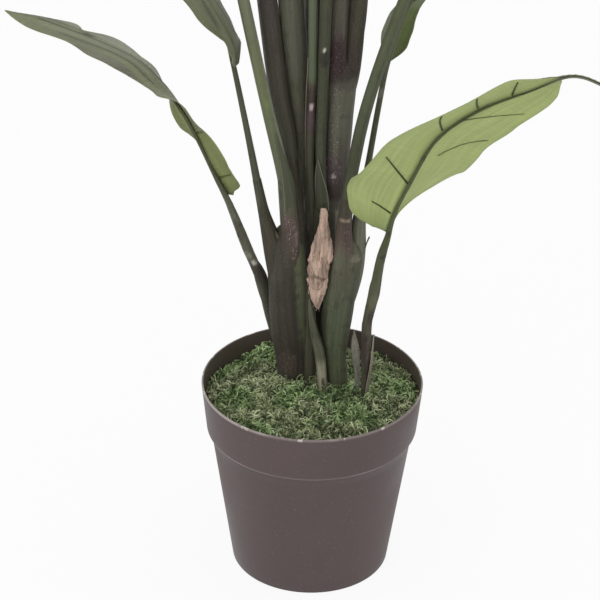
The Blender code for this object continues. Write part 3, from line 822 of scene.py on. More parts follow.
def bedTop(bed, edge):  # the faces that curls stand on: turned upwards and not at the pot's wall
    shape = bmesh.new()
    shape.from_mesh(bed)
    bare = []
    for face in shape.faces:
        middle = face.calc_center_median()
        atWall = middle.xy.length > edge - mossLook["curlMargin"]
        if face.normal.z < 0.2 or middle.z < mossLook["curlFootZ"] or atWall:
            bare.append(face)
    bmesh.ops.delete(shape, geom=bare, context="FACES")
    ground = bpy.data.meshes.new("bed_top")
    shape.to_mesh(ground)
    shape.free()
    return ground


def keepInside(mesh):  # draws in any point that would pass the pot's wall
    places = placesOf(mesh)
    reach = np.hypot(places[:, 0], places[:, 1])
    limit = innerRadii(places) - gap
    places[:, :2] *= np.minimum(1, limit / np.maximum(reach, mm))[:, None]
    setPlaces(mesh, places)


def makeMoss():
    look = mossLook
    edge, foot = (potRadius(z) - potLook["wall"] - gap for z in (look["edgeZ"], look["bottomZ"]))
    outline = [(edge * n / look["rings"], look["edgeZ"]) for n in range(look["rings"] + 1)]
    outline += [(foot, look["bottomZ"]), (0, look["bottomZ"])]
    bedFinish = makeMossFinish("mossBed", *look["bedColours"])
    curlFinish = makeMossFinish("mossCurl", *look["curlColours"])
    mesh = makeTurned("moss_bed", outline, look["segments"], bedFinish)
    places = placesOf(mesh)
    top = places[:, 2] > look["bottomZ"] + gap
    rough = wobble(places, 3.7 * mm) + 0.6 * wobble(places[:, [1, 0, 2]], 1.9 * mm)
    raised = mossHeight(places[:, 0], places[:, 1]) + look["roughLump"] * (rough - 1)
    places[:, 2] = np.where(top, raised, places[:, 2])
    setPlaces(mesh, places)
    # painted shade: the bed is painted darker in its hollows and lighter on its lumps
    setAttribute(mesh, "shade", np.clip(0.5 + 0.4 * rough, 0, 1))
    compareBoxes(finishPiece(addObject("moss_bed", mesh), "moss", "moss_layer"), "moss_layer")
    tree = makeCurlTree()
    for number in range(look["curls"]):
        item = grow(f"moss_curls_{number + 1}", bedTop(mesh, edge), tree, {
            "Amount": look["perBed"], "Thickness": look["thickness"], "Seed": look["seed"] + number,
            "Finish": curlFinish})
        keepInside(item.data)
        finishPiece(item, "moss", "moss_layer")
        print(f"  {item.name}: {len(item.data.polygons)} faces")


makeMoss()
print("moss is laid")


# Trunks, sheaths and flares: x, y, z and radius in mm from the foot up, then what they look like. A flare is
# the widened foot of a stalk, where it grows out of the trunk that it is moulded with.

stemFinishes = {  # roughness, streaks across, contrast and browning
    "trunk": makeStemFinish("trunkPlastic", 0.62, 330.0, 0.16, 0.35),
    "sheath": makeStemFinish("sheathPlastic", 0.6, 420.0, 0.14, 0.2),
    "stalk": makeStemFinish("stalkPlastic", 0.55, 420.0, 0.15, 0.2),
    "light_stalk": makeStemFinish("lightStalkPlastic", 0.52, 380.0, 0.12, 0.1),
    "low_stalk": makeStemFinish("lowStalkPlastic", 0.58, 520.0, 0.2, 0.55),
    "dry_sheath": makeScaleFinish(
        "drySheathFibre", srgb(150, 148, 138), srgb(108, 104, 96), srgb(140, 132, 116), 1.0),
}
trunkRowSpacing = 2.2 * mm
trunkShape = {
    "Sides": 40, "Ribs": 15, "Rib Depth": 0.05, "Channel Depth": 0.0, "Knobs": 0.16, "Knob Scale": 38.0,
}
slimShape = {**trunkShape, "Sides": 20, "Ribs": 5, "Rib Depth": 0.16, "Knobs": 0.3, "Knob Scale": 90.0}
flareShape = {**trunkShape, "Ribs": 11, "Knobs": 0.1}
slimRadius = 6  # in mm; a trunk that stays under it takes the slim shape
dryShade = 0.6
trunks = {
    "left_trunk": {
        "slot": "trunk", "seed": 1,
        "points": [(-14, 12, 100, 11.5), (-14.5, 12, 158, 12.6), (-17.2, 12, 199, 15.4),
                   (-19.9, 13.5, 244, 15.3), (-21.1, 13.5, 265, 14.0), (-21.2, 13.2, 274, 11.8),
                   (-20.6, 12.8, 281, 8.2), (-20.2, 12.6, 286, 4.5), (-20.2, 12.6, 288, 1.2)],
        "stops": [(150, (66, 60, 52)), (172, (56, 50, 44)), (195, (50, 46, 38)), (240, (52, 49, 40)),
                  (288, (58, 56, 46))],
        "spots": [(240, 58, 70, 36, (84, 90, 66), 0.9, 0.1), (190, 72, 50, 34, (84, 86, 66), 0.85, 0.1),
                  (200, 14, 60, 12, (44, 38, 32), 0.6, 0.05), (172, -20, 12, 34, (70, 60, 52), 0.6, 0.3),
                  (262, -40, 26, 26, (66, 64, 52), 0.6, 0.1)],
    },
    "right_trunk": {
        "slot": "trunk", "seed": 2,
        "points": [(19, 2, 104, 7.5), (19, 2, 156, 8.0), (17, 4, 182, 9.5), (17.8, 6, 207, 12.0),
                   (21.4, 7, 237, 11.6), (26.2, 8, 263, 10.4), (27, 8.4, 270, 7.5), (27.2, 8.6, 275, 4.0),
                   (27.2, 8.6, 277, 1.2)],
        "stops": [(150, (74, 78, 58)), (200, (74, 80, 60)), (245, (80, 83, 66)), (266, (84, 84, 68))],
        "spots": [(190, -60, 40, 26, (54, 54, 42), 0.8, 0.1), (215, -12, 46, 10, (62, 66, 50), 0.6, 0.1),
                  (225, 62, 60, 26, (58, 58, 46), 0.7, 0.1), (263, 20, 2.5, 60, (112, 106, 92), 0.8, 0.6)],
    },
    "rear_trunk": {
        "slot": "trunk", "seed": 3,
        "points": [(3, 34, 100, 12.0), (3, 34, 158, 12.5), (4, 35.5, 199, 13.8), (5, 35, 244, 14.0),
                   (4.5, 33, 280, 14.6), (4, 32, 300, 14.2), (4, 31.5, 312, 11.0), (4, 31, 320, 6.5),
                   (4, 31, 323, 1.5)],
        "stops": [(150, (52, 46, 40)), (230, (56, 54, 44)), (300, (66, 66, 52))],
        "spots": [(284, 64, 18, 13, (108, 103, 87), 0.9, 0.2)],
    },
    "centre_sheath": {
        "slot": "sheath", "seed": 4,
        "points": [(8, -8, 112, 3.2), (7.6, -7, 158, 3.8), (5.4, -5, 183, 4.3), (1.6, -1, 197, 4.0),
                   (-1.6, -2, 215, 2.4), (-3.2, -3, 231, 0.6)],
        "stops": [(152, (112, 104, 88)), (166, (146, 142, 122)), (174, (130, 128, 108)),
                  (182, (78, 80, 63)), (200, (70, 73, 57)), (231, (88, 88, 72))],
        "spots": [(160, 14, 6, 26, (56, 44, 38), 0.9, 0.3), (200, -50, 34, 12, (116, 116, 96), 0.6, 0.1),
                  (166, -30, 12, 22, (150, 146, 128), 0.6, 0.4)],
    },
    "dry_sheath": {
        "slot": "dry_sheath", "seed": 5,
        "points": [(34.6, -6, 118, 1.8), (34.4, -6, 160, 2.1), (33.4, -5.4, 178, 3.0),
                   (32.0, -4.6, 190, 3.2), (31.4, -4.1, 199, 1.5), (31.2, -4, 204, 0.4)],
        "stops": [(150, (164, 158, 146)), (170, (186, 180, 168)), (190, (164, 162, 156)),
                  (203, (132, 130, 120))],
    },
    "upper_sheath": {
        "slot": "sheath", "seed": 6,
        "points": [(11.5, 33, 276, 5.2), (13.4, 29.6, 302, 8.4), (14.4, 24.5, 333, 10.4),
                   (15.2, 22, 352, 10.8), (16.6, 20, 381, 11.0), (18.2, 19.4, 407, 11.4),
                   (18.8, 19.6, 415, 9.0), (19, 19.8, 421, 5.5), (19, 19.8, 424, 1.5)],
        "stops": [(276, (104, 100, 84)), (292, (98, 94, 79)), (303, (60, 52, 47)), (318, (66, 58, 54)),
                  (352, (82, 80, 70)), (372, (92, 92, 78)), (398, (92, 92, 78)), (406, (80, 76, 66)),
                  (410, (58, 52, 46))],
        "spots": [(332, -10, 17, 40, (80, 67, 70), 0.9, 0.8), (326, -4, 2.6, 9, (196, 180, 182), 0.9, 0.9),
                  (385, -30, 34, 18, (90, 88, 78), 0.6, 1.0), (366, -4, 34, 14, (104, 103, 90), 0.6, 1.0),
                  (402, -70, 20, 22, (70, 66, 60), 0.7, 0.5)],
    },
}
flares = {
    "flare_mid_left": {
        "node": "left_trunk", "slot": "trunk", "seed": 11,
        "points": [(-25, 12, 240, 9.4), (-29.4, 11, 262, 8.6), (-33.6, 9.3, 280, 6.6),
                   (-38.2, 5.6, 301, 4.4), (-41.1, 3.4, 317, 3.7), (-43.4, 1.9, 330, 3.3)],
        "stops": [(240, (54, 50, 42)), (275, (60, 55, 45)), (305, (62, 60, 46)), (332, (64, 64, 50))],
        # the pale spot at 275 mm on the right edge is a painted highlight
        "spots": [(275, 62, 9, 14, (150, 140, 122), 0.9, 0.2)],
    },
    "flare_front_left": {
        "node": "left_trunk", "slot": "trunk", "seed": 12,
        "points": [(-20, 14, 224, 8.0), (-19.6, 8.2, 254, 8.6), (-18.3, 5.6, 280, 7.2),
                   (-19.6, 4.6, 300, 6.7), (-21.6, 2.8, 320, 5.9), (-23, 1.6, 332, 5.2)],
        "stops": [(232, (58, 56, 46)), (256, (60, 57, 47)), (276, (72, 64, 56)), (296, (78, 72, 62)),
                  (316, (82, 84, 66)), (332, (86, 90, 70))],
        "spots": [(290, 0, 11, 44, (88, 68, 68), 0.6, 1.0), (270, 34, 13, 20, (84, 62, 62), 0.6, 1.0),
                  (282, 48, 9, 12, (128, 108, 100), 0.6, 1.0), (276, -34, 16, 22, (56, 50, 42), 0.6, 0.2)],
    },
    "flare_low_left": {
        "node": "stalk_low_left", "slot": "low_stalk", "seed": 18,
        "points": [(-31.4, 26.5, 200, 3.9), (-36.4, 22, 220, 4.9), (-40.2, 18.6, 237, 4.9),
                   (-42.6, 17, 246, 3.7), (-44, 16, 251, 2.4)],
        "stops": [(200, (66, 66, 54)), (226, (70, 70, 57)), (240, (50, 46, 40)), (251, (52, 48, 42))],
    },
    "stem_joint": {
        "node": "left_trunk", "slot": "trunk", "seed": 19,
        "points": [(-3.6, 9, 140, 6.6), (-3.6, 9, 186, 6.8), (-4.4, 9.6, 216, 6.0), (-5.4, 10.4, 238, 4.0)],
        "stops": [(140, (72, 68, 56)), (190, (76, 75, 61)), (238, (72, 74, 60))],
    },
    "flare_left": {
        "node": "left_trunk", "slot": "trunk", "seed": 13,
        "points": [(-16, 15, 250, 9.5), (-15.6, 16.5, 275, 9.0), (-16, 17.8, 300, 7.8), (-18, 18, 325, 6.8),
                   (-20.4, 18, 352, 6.2)],
        "stops": [(250, (56, 56, 44)), (300, (58, 54, 44)), (352, (60, 57, 47))],
    },
    "flare_front_right": {
        "node": "right_trunk", "slot": "trunk", "seed": 14,
        "points": [(20.5, 5, 226, 9.5), (21.5, 4.4, 250, 9.0), (22, 3.8, 272, 7.2), (22.2, 3.4, 292, 5.8),
                   (24.5, 2.2, 316, 4.8)],
        "stops": [(226, (76, 80, 62)), (262, (82, 80, 66)), (276, (82, 70, 62)), (292, (72, 60, 52)),
                  (300, (64, 58, 48)), (316, (62, 60, 48))],
        "spots": [(296, 0, 0.8, 90, (150, 132, 116), 0.6, 1.0), (280, 26, 9, 30, (70, 56, 52), 0.6, 0.5),
                  (264, -30, 12, 26, (92, 96, 76), 0.5, 0.1)],
    },
    "flare_mid_right": {
        "node": "right_trunk", "slot": "trunk", "seed": 15,
        "points": [(20.5, 6.5, 206, 5.0), (25.4, 8.5, 228, 7.2), (30, 11, 248, 7.3), (32.3, 12.4, 268, 6.6),
                   (33, 13.2, 286, 5.6), (35, 14.6, 306, 3.9)],
        "stops": [(206, (74, 76, 60)), (248, (92, 92, 78)), (266, (98, 98, 84)), (290, (94, 95, 80)),
                  (306, (78, 81, 62))],
        "spots": [(264, 20, 1.4, 80, (112, 108, 94), 0.5, 0.6), (240, 84, 20, 30, (62, 62, 48), 0.7, 0.1)],
    },
    "flare_back_right": {
        "node": "upper_sheath", "slot": "sheath", "seed": 16,
        "points": [(14.4, 18.8, 386, 8.2), (14, 17.6, 408, 8.7), (14, 17.1, 428, 8.2),
                   (14.4, 17.2, 450, 7.5)],
        "stops": [(386, (92, 92, 78)), (402, (86, 82, 72)), (410, (60, 52, 48)), (430, (56, 46, 46)),
                  (450, (78, 70, 62))],
        "spots": [(428, 4, 18, 40, (58, 42, 46), 0.9, 0.4)],
    },
    "flare_right": {
        "node": "upper_sheath", "slot": "sheath", "seed": 17,
        "points": [(19, 19.6, 384, 7.0), (23.4, 20.8, 406, 7.7), (26, 22.6, 428, 7.5), (28, 24, 452, 7.0)],
        "stops": [(384, (86, 86, 72)), (402, (82, 78, 66)), (410, (58, 50, 44)), (430, (60, 54, 46)),
                  (452, (72, 70, 56))],
    },
}


def makeTrunk(name, look, shape):
    rows = evenly(smoothPath(look["points"]) * mm, trunkRowSpacing)
    facing = np.zeros((len(rows), 3))  # no channel
    item = makeStem(name, rows, facing, shape, stemFinishes[look["slot"]], {"spots": [], **look})
    setAttribute(item.data, "shade", np.full(len(item.data.vertices), dryShade))
    return item


for name, look in trunks.items():
    isSlim = max(point[3] for point in look["points"]) < slimRadius
    item = makeTrunk(f"{name}_body", look, slimShape if isSlim else trunkShape)
    compareBoxes(item, name)
    finishPiece(item, look["slot"], name)
for name, look in flares.items():
    finishPiece(makeTrunk(name, look, flareShape), look["slot"], look["node"])
print("trunks and sheaths are made")


# Leaves, in mm and degrees. A stalk's points are x, y, z and radius from the foot up. A blade's points are x,
# y, z, roll and fold, on to its tip, and "foot" is the roll and fold at its foot. Roll turns the blade about
# its midrib from facing up, and fold is how far its halves rise from flat. Edges give the share along the
# blade and the widths of its minus and plus half there. Width and widest shape a blade that has no edges.

bladeLook = {
    "thickness": 0.5 * mm, "rowSpacing": 2.3 * mm, "columns": 18, "leastHalfWidth": 0.35 * mm,
    "waves": 0.045, "pleat": 0.16 * mm, "pleatSpacing": 4.6 * mm, "lean": 0.35, "crumple": 0.5 * mm,
    "groove": 0.4 * mm, "grooveWidth": 3.2 * mm, "tipRadius": 1.0 * mm, "midribShare": 0.93,
    "slimShare": 0.12, "footShare": 0.07, "footShade": 0.3, "bandWidth": 4.2 * mm,
}
stalkRowSpacing = 2.6 * mm
stalkShape = {
    "Sides": 28, "Ribs": 9, "Rib Depth": 0.05, "Channel Depth": 0.05, "Knobs": 0.07, "Knob Scale": 50.0,
}
usualLeaf = {
    "stalkSlot": "stalk", "bladeSlot": "blade", "widest": 0.36, "slim": 0, "swell": 1, "bands": 0.05,
    "bulge": 0.05, "ripple": 0.05, "rippleCount": 5.0, "topColour": (116, 122, 96),
    "underColour": (120, 130, 84), "topMarks": [], "underMarks": [], "ribRadius": 0.75 * mm,
    "ribColour": (82, 92, 52), "shape": {}, "spots": [],
}
leaves = {
    "low_left": {
        "seed": 1, "stalkSlot": "low_stalk", "foot": (22, 8),
        "stalk": [(-25, 34, 112, 3.0), (-25, 34, 161, 3.0), (-30.5, 30, 185, 3.1), (-41.7, 18, 239, 3.4),
                  (-50.7, 10, 268, 3.5), (-60.8, 4, 300, 2.8), (-66.1, 2, 315, 2.2)],
        "blade": [(-77.5, 0, 341, 30, 12), (-87.6, 1.3, 364, 45, 4), (-98.5, 4, 384, 54, -5),
                  (-114.4, 14, 402.5, 27, -20), (-139.4, 30, 416.3, 17, -9), (-198, 58, 428, 6, -8),
                  (-232, 70, 432, -6, -20)],
        "edges": [(0, 4.5, 2), (0.017, 8, 3), (0.032, 14.2, 4), (0.045, 19, 4.5), (0.06, 20, 5),
                  (0.09, 18.8, 6), (0.12, 19.3, 7), (0.15, 21.5, 9), (0.18, 21.5, 12), (0.21, 19, 16.5),
                  (0.24, 13, 20.5), (0.27, 7, 20), (0.3, 6, 22), (0.33, 10, 26), (0.36, 16, 28),
                  (0.39, 25, 24), (0.42, 20, 19), (0.46, 20, 18), (0.5, 25, 19), (0.55, 32, 17),
                  (0.6, 31, 25.5), (0.65, 27.2, 29), (0.7, 22, 23), (0.745, 19.3, 8.5), (0.77, 19, 14),
                  (0.8, 18.5, 18.5), (0.85, 17, 9.5), (0.9, 13.7, 4), (0.95, 8, 2), (1, 1, 1)],
        "slim": 0.35, "swell": 1.12, "bands": 0.13, "bulge": 0.0, "ripple": 0.02,
        "topColour": (139, 144, 111), "underColour": (132, 141, 87),
        # the top marks are partly painted light and shade: the dark strip along the midrib is a painted
        # shadow line in its crease, and the pale plus half from 8 mm out is a painted sheen
        "topMarks": [(0.4, 0.9, -2, 1.5, (58, 62, 44), 0.9), (0.69, 0.75, 0, 6, (62, 66, 46), 0.85),
                     (0.34, 1.1, 8, 99, (158, 162, 140), 0.75), (0.38, 0.9, 4, 6.5, (68, 72, 54), 0.9),
                     (0.42, 0.8, -12, -9, (72, 74, 58), 0.9), (0.45, 0.88, -7.5, -4, (164, 168, 146), 0.6),
                     (0.4, 0.72, -99, -17, (122, 116, 106), 0.6)],
        "underMarks": [(0.235, 0.45, -99, -1, (130, 135, 106), 1),
                       (0.35, 0.6, -99, 99, (130, 135, 106), 1)],
        "ribs": [(0.07, 0.092, -1, 0.03, 0.86), (0.24, 0.245, -1, 0.1, 0.75)],
        "shape": {"Knobs": 0.34, "Knob Scale": 95.0, "Channel Depth": 0.05},
        "stops": [(150, (60, 56, 46)), (190, (74, 74, 58)), (240, (88, 90, 74)), (268, (84, 84, 70)),
                  (300, (92, 93, 79)), (330, (72, 74, 54)), (440, (76, 82, 50))],
        "spots": [(246, 0, 10, 70, (60, 52, 46), 0.8, 0.1), (262, -30, 5, 60, (128, 124, 112), 0.6, 0.8),
                  (221, 0, 8, 80, (58, 52, 46), 0.7, 0.1), (252, 20, 3, 40, (196, 188, 180), 0.7, 0.9),
                  (286, 0, 12, 60, (62, 58, 46), 0.6, 0.1)],
    },
    "low_right": {
        "seed": 2, "stalkSlot": "low_stalk", "bladeSlot": "blade_underside_light", "foot": (2, 42),
        "stalk": [(39.5, -12, 116, 2.6), (39.5, -12, 158, 2.6), (40.2, -12.5, 180, 3.7),
                  (40.2, -13, 203, 3.8), (41, -15.5, 222, 4.1), (45.4, -22, 249, 4.1),
                  (49.5, -33, 285, 3.4), (53.7, -42, 308, 2.4)],
        "blade": [(58, -52, 333, -18, 30), (69, -68, 369, -20, 5), (85, -90, 413, -30, -10),
                  (113, -111, 447, -40, -17), (146, -128, 471, -46, -10), (172, -138, 487, -28, -9),
                  (192, -150, 487, -42, -12), (214, -163, 478, -45, -14)],
        "edges": [(0, 1, 10), (0.012, 2, 26), (0.03, 4, 33), (0.07, 9, 37), (0.13, 33, 38), (0.2, 38, 40),
                  (0.3, 36, 35), (0.42, 37, 33), (0.52, 35.5, 28.5), (0.62, 29, 23.5), (0.73, 22, 25),
                  (0.755, 19.5, 23), (0.775, 14, 19), (0.795, 8, 12), (0.815, 2, 3), (1, 1, 2)],
        "slim": 0.3, "bands": 0.03, "ripple": 0.03, "rippleCount": 3.0, "dryFrom": 0.79,
        "topColour": (124, 128, 106), "underColour": (180, 194, 126),
        "ribs": [(0.073, 0.077, 1, 0.04, 0.45), (0.205, 0.3, 1, 0.02, 0.74), (0.44, 0.52, 1, 0.06, 0.82),
                 (0.57, 0.62, 1, 0.08, 0.9), (0.67, 0.725, 1, 0.04, 0.7)],
        "faintRibs": [(0.325, 0.47, -1, 0.3, 0.88), (0.5, 0.65, -1, 0.08, 0.8)], "ribRadius": 0.85 * mm,
        "ribColour": (74, 84, 48), "shape": {"Knobs": 0.45, "Knob Scale": 80.0, "Channel Depth": 0.25},
        "stops": [(150, (84, 82, 66)), (175, (68, 64, 54)), (215, (72, 69, 57)), (255, (76, 78, 59)),
                  (300, (68, 74, 49)), (350, (70, 80, 46)), (474, (74, 80, 50)), (486, (122, 122, 106))],
        "spots": [(196, -30, 16, 60, (56, 46, 42), 0.8, 0.1), (226, 50, 10, 60, (54, 46, 42), 0.8, 0.1),
                  (243, 0, 7, 60, (96, 98, 76), 0.6, 0.1), (285, 60, 9, 50, (56, 50, 42), 0.6, 0.1),
                  (178, 30, 8, 50, (50, 42, 38), 0.7, 0.1)],
    },
    "mid_left": {
        "seed": 3, "foot": (-50, 0),
        "stalk": [(-29.5, 14, 262, 3.2), (-33, 10.5, 280, 4.2), (-39.1, 5, 303.5, 3.5),
                  (-42.9, 2, 327, 3.1), (-50.1, 0, 369, 2.5), (-60.6, -4, 427, 2.0)],
        "blade": [(-66, -6, 450, -28, 2), (-81.5, -8, 480, -16, -7), (-106.5, -10, 518, -6, -5),
                  (-142, -8, 569, 0, -4), (-190, 0, 610, 0, -5), (-245, 10, 630, 3, -8),
                  (-300, 20, 628, 6, -12)],
        "edges": [(0, 3, 3), (0.01, 6, 6), (0.02, 8.5, 11), (0.03, 10.5, 16.5), (0.046, 11.5, 13.5),
                  (0.06, 10.5, 11), (0.076, 10.5, 12), (0.09, 13.5, 13.5), (0.12, 18.5, 15),
                  (0.14, 21.5, 18), (0.16, 24, 21), (0.2, 29, 26), (0.3, 40, 38), (0.45, 48, 48),
                  (0.6, 44, 44), (0.8, 29, 29), (0.93, 12, 12), (1, 1, 1)],
        "bands": 0.09, "topColour": (124, 128, 96), "underColour": (118, 126, 84),
        "topMarks": [(0.1, 0.6, -13, -6.5, (72, 82, 50), 0.75), (0.03, 1.1, 1.5, 99, (142, 144, 122), 0.8),
                     (0.05, 0.5, 5.5, 8, (74, 77, 60), 0.85)],
        "stops": [(262, (68, 66, 54)), (300, (72, 73, 60)), (380, (80, 80, 66)), (420, (68, 70, 54)),
                  (440, (64, 66, 48)), (640, (80, 86, 56))],
        "spots": [(290, -60, 14, 40, (84, 80, 68), 0.5, 0.1)],
    },
    "mid_right": {
        "seed": 4, "foot": (-58, -5),
        "stalk": [(31.5, 11, 240, 3.0), (32.3, 12.2, 268, 3.6), (33, 13, 290, 3.8), (39.5, 18, 337, 2.5),
                  (46.6, 22, 386, 2.2), (51.5, 26, 413, 1.9)],
        "blade": [(59.8, 30, 440.6, -60, -3), (70, 36, 464, -64, -1), (91.6, 46, 497, -52, 0),
                  (122, 62, 545, -30, -1), (165, 84, 585, -12, -4), (215, 108, 605, -6, -8),
                  (266, 130, 606, 0, -12)],
        "edges": [(0, 3, 1), (0.012, 16, 4), (0.03, 22, 9), (0.06, 22, 17), (0.09, 25, 24), (0.12, 27, 24),
                  (0.145, 24.5, 16), (0.18, 25, 17), (0.24, 29, 26), (0.34, 40, 40), (0.45, 48, 48),
                  (0.6, 44, 44), (0.8, 29, 29), (0.93, 12, 12), (1, 1, 1)],
        "slim": 0.25, "bands": 0.09, "topColour": (96, 104, 70), "underColour": (94, 107, 54),
        "underMarks": [(-0.1, 0.4, 3.5, 99, (134, 137, 120), 0.8),
                       (0.13, 1.1, -99, -4.5, (124, 132, 102), 0.85),
                       (-0.1, 0.3, 9, 11, (84, 92, 62), 0.7)],
        "stops": [(240, (72, 74, 58)), (330, (70, 72, 54)), (420, (84, 86, 68)), (620, (78, 84, 54))],
        "spots": [(392, 0, 3, 60, (130, 128, 116), 0.5, 0.7)],
    },
    "front_left": {
        "seed": 5, "stalkSlot": "light_stalk", "width": 125, "foot": (8, 28),
        "stalk": [(-20, 6, 264, 4.4), (-20.4, 5, 299, 5.2), (-22.8, 2, 330, 5.3), (-37.2, -2, 398, 4.6),
                  (-53.4, -8, 481, 4.5), (-80, -34, 625, 3.0)],
        "blade": [(-108, -60, 690, 6, 20), (-145, -95, 745, 4, 8), (-190, -138, 780, 0, -2),
                  (-238, -182, 795, -4, -10), (-285, -225, 785, -8, -14)],
        "topColour": (118, 124, 98), "underColour": (122, 132, 88),
        "stops": [(262, (74, 66, 58)), (286, (80, 70, 66)), (308, (84, 86, 68)), (360, (88, 94, 70)),
                  (420, (99, 104, 74)), (490, (110, 114, 94)), (640, (100, 106, 76))],
        # the pale right side from 301 to 469 mm is a painted highlight streak
        "spots": [(396, 12, 5, 24, (104, 117, 66), 0.7, 0.1), (385, 64, 84, 22, (138, 141, 126), 0.8, 0.1),
                  (292, 10, 17, 70, (86, 72, 70), 0.8, 0.8), (276, 40, 10, 30, (66, 52, 54), 0.7, 0.6),
                  (300, -60, 12, 30, (84, 74, 72), 0.6, 0.6)],
    },
    "front_right": {
        "seed": 6, "width": 125, "foot": (-8, 28),
        "stalk": [(22, 4.5, 240, 4.0), (22, 3.5, 295, 4.5), (28.4, 0, 347, 4.9), (36.8, -6, 396, 4.7),
                  (52, -12, 454, 4.6), (80, -23, 545, 4.2), (104, -34, 615, 3.0)],
        "blade": [(140, -52, 680, -5, 18), (186, -76, 735, -3, 8), (242, -104, 770, 2, -3),
                  (300, -130, 785, 5, -10), (358, -154, 775, 8, -14)],
        "topColour": (118, 124, 98), "underColour": (120, 130, 86),
        "stops": [(238, (72, 74, 58)), (262, (82, 82, 66)), (300, (66, 68, 52)), (345, (70, 74, 54)),
                  (400, (87, 92, 71)), (620, (84, 90, 62))],
        "spots": [(264, 0, 2.2, 80, (116, 110, 96), 0.7, 0.7), (290, 70, 24, 40, (52, 50, 40), 0.7, 0.1),
                  # the dark right side from 390 to 610 mm is painted shade of the stalk's shadow side
                  (500, 80, 110, 24, (50, 54, 38), 0.85, 0.1)],
    },
    "left": {
        "seed": 7, "width": 140, "foot": (-8, 28),
        "stalk": [(-16.5, 18, 262, 4.6), (-17.5, 18.5, 300, 5.4), (-20.6, 18, 355, 5.9),
                  (-27.8, 15.5, 397, 6.4), (-36.5, 14, 471, 6.6), (-52, 20, 600, 5.4), (-84, 34, 735, 3.2)],
        "blade": [(-118, 46, 815, -6, 20), (-165, 62, 885, -3, 8), (-225, 80, 940, 0, -4),
                  (-290, 98, 970, 4, -12), (-355, 115, 975, 8, -16)],
        "swell": 1.17, "underColour": (118, 128, 84),
        "stops": [(262, (60, 58, 47)), (340, (72, 71, 58)), (420, (70, 66, 57)), (480, (70, 62, 58)),
                  (620, (72, 72, 54)), (760, (82, 88, 58))],
        "spots": [(400, 60, 70, 26, (62, 60, 50), 0.5, 0.1), (440, -50, 60, 20, (60, 52, 48), 0.5, 0.2)],
    },
    "back_left": {
        "seed": 8, "width": 145, "foot": (8, 28),
        "stalk": [(-5, 34, 274, 4.4), (-5.5, 32, 297, 5.6), (-8, 28.5, 341, 7.0), (-14.2, 24, 400, 8.2),
                  (-19.8, 20, 470, 9.0), (-30, 24, 620, 6.8), (-44, 36, 800, 4.8), (-53, 46, 900, 3.4)],
        "blade": [(-64, 60, 990, 6, 20), (-78, 78, 1080, 4, 10), (-97, 100, 1170, 0, 2),
                  (-122, 128, 1250, -4, -6), (-155, 162, 1310, -8, -12)],
        "swell": 1.08, "underColour": (118, 128, 84),
        "stops": [(274, (66, 66, 52)), (340, (74, 74, 58)), (420, (86, 85, 72)), (480, (90, 89, 76)),
                  (640, (82, 86, 62)), (900, (82, 88, 58))],
        "spots": [(420, 66, 80, 22, (66, 64, 52), 0.7, 0.1), (350, 20, 60, 12, (62, 60, 48), 0.5, 0.1)],
    },
    "front": {
        "seed": 9, "stalkSlot": "light_stalk", "width": 120, "foot": (6, 28),
        "stalk": [(-2, 22.5, 276, 2.6), (-2.5, 20, 305, 3.0), (-4.2, 11, 350, 3.1), (-3.2, 8.5, 410, 3.1),
                  (-3.6, 7, 474, 3.1), (-4, -4, 600, 3.1), (-7, -24, 735, 2.4)],
        "blade": [(-10, -52, 815, 5, 20), (-14, -92, 885, 3, 8), (-19, -140, 930, 0, -4),
                  (-24, -192, 950, -3, -10), (-29, -245, 945, -5, -14)],
        "swell": 1.1, "topColour": (118, 124, 98), "underColour": (122, 132, 88),
        "stops": [(276, (58, 56, 44)), (330, (62, 64, 48)), (362, (66, 64, 50)), (380, (74, 60, 60)),
                  (394, (66, 56, 50)), (405, (74, 68, 56)), (411, (86, 94, 72)), (480, (92, 100, 80)),
                  (740, (92, 100, 70))],
        "spots": [(389, 0, 2.2, 34, (190, 176, 176), 0.9, 0.9), (398, 0, 7, 90, (60, 50, 43), 0.7, 0.2),
                  (378, 0, 9, 90, (78, 62, 66), 0.7, 0.5)],
    },
    "top": {
        "seed": 10, "width": 138, "foot": (-6, 28),
        "stalk": [(6, 23.5, 276, 3.0), (5.6, 18, 305, 3.5), (3.8, 9, 350, 4.0), (5, 7.2, 430, 4.5),
                  (6.1, 6.6, 474, 4.6), (10, 0, 650, 4.6), (16, -7, 800, 4.0), (22, -14, 910, 3.2)],
        "blade": [(30, -24, 1000, -5, 20), (41, -38, 1090, -3, 10), (56, -56, 1180, 0, 2),
                  (76, -79, 1265, 3, -6), (104, -108, 1345, 6, -10), (116, -121, 1372, 7, -12)],
        "stops": [(276, (60, 62, 48)), (340, (62, 66, 50)), (400, (64, 68, 50)), (480, (70, 72, 56)),
                  (640, (76, 82, 56)), (920, (82, 88, 58))],
        "spots": [(436, -2, 1.5, 16, (214, 208, 200), 0.9, 0.9), (430, 6, 6, 60, (46, 42, 38), 0.8, 0.1),
                  (330, 0, 30, 20, (80, 84, 66), 0.5, 0.1)],
    },
    "back": {
        "seed": 11, "width": 142, "foot": (6, 28),
        "stalk": [(3, 40.5, 274, 4.0), (3, 40.5, 300, 5.0), (1, 39, 350, 6.6), (-1, 36.5, 420, 7.4),
                  (-2, 35.5, 475, 7.6), (4, 42, 620, 6.4), (19, 78, 840, 3.2)],
        "blade": [(24, 108, 925, 5, 20), (30, 150, 1000, 3, 8), (37, 205, 1060, 0, -4),
                  (45, 262, 1095, -3, -10), (52, 318, 1105, -5, -14)],
        "swell": 1.12,
        "stops": [(274, (62, 62, 50)), (420, (70, 71, 57)), (640, (76, 80, 56)), (840, (80, 86, 56))],
    },
    "back_right": {
        "seed": 12, "width": 138, "foot": (-6, 28),
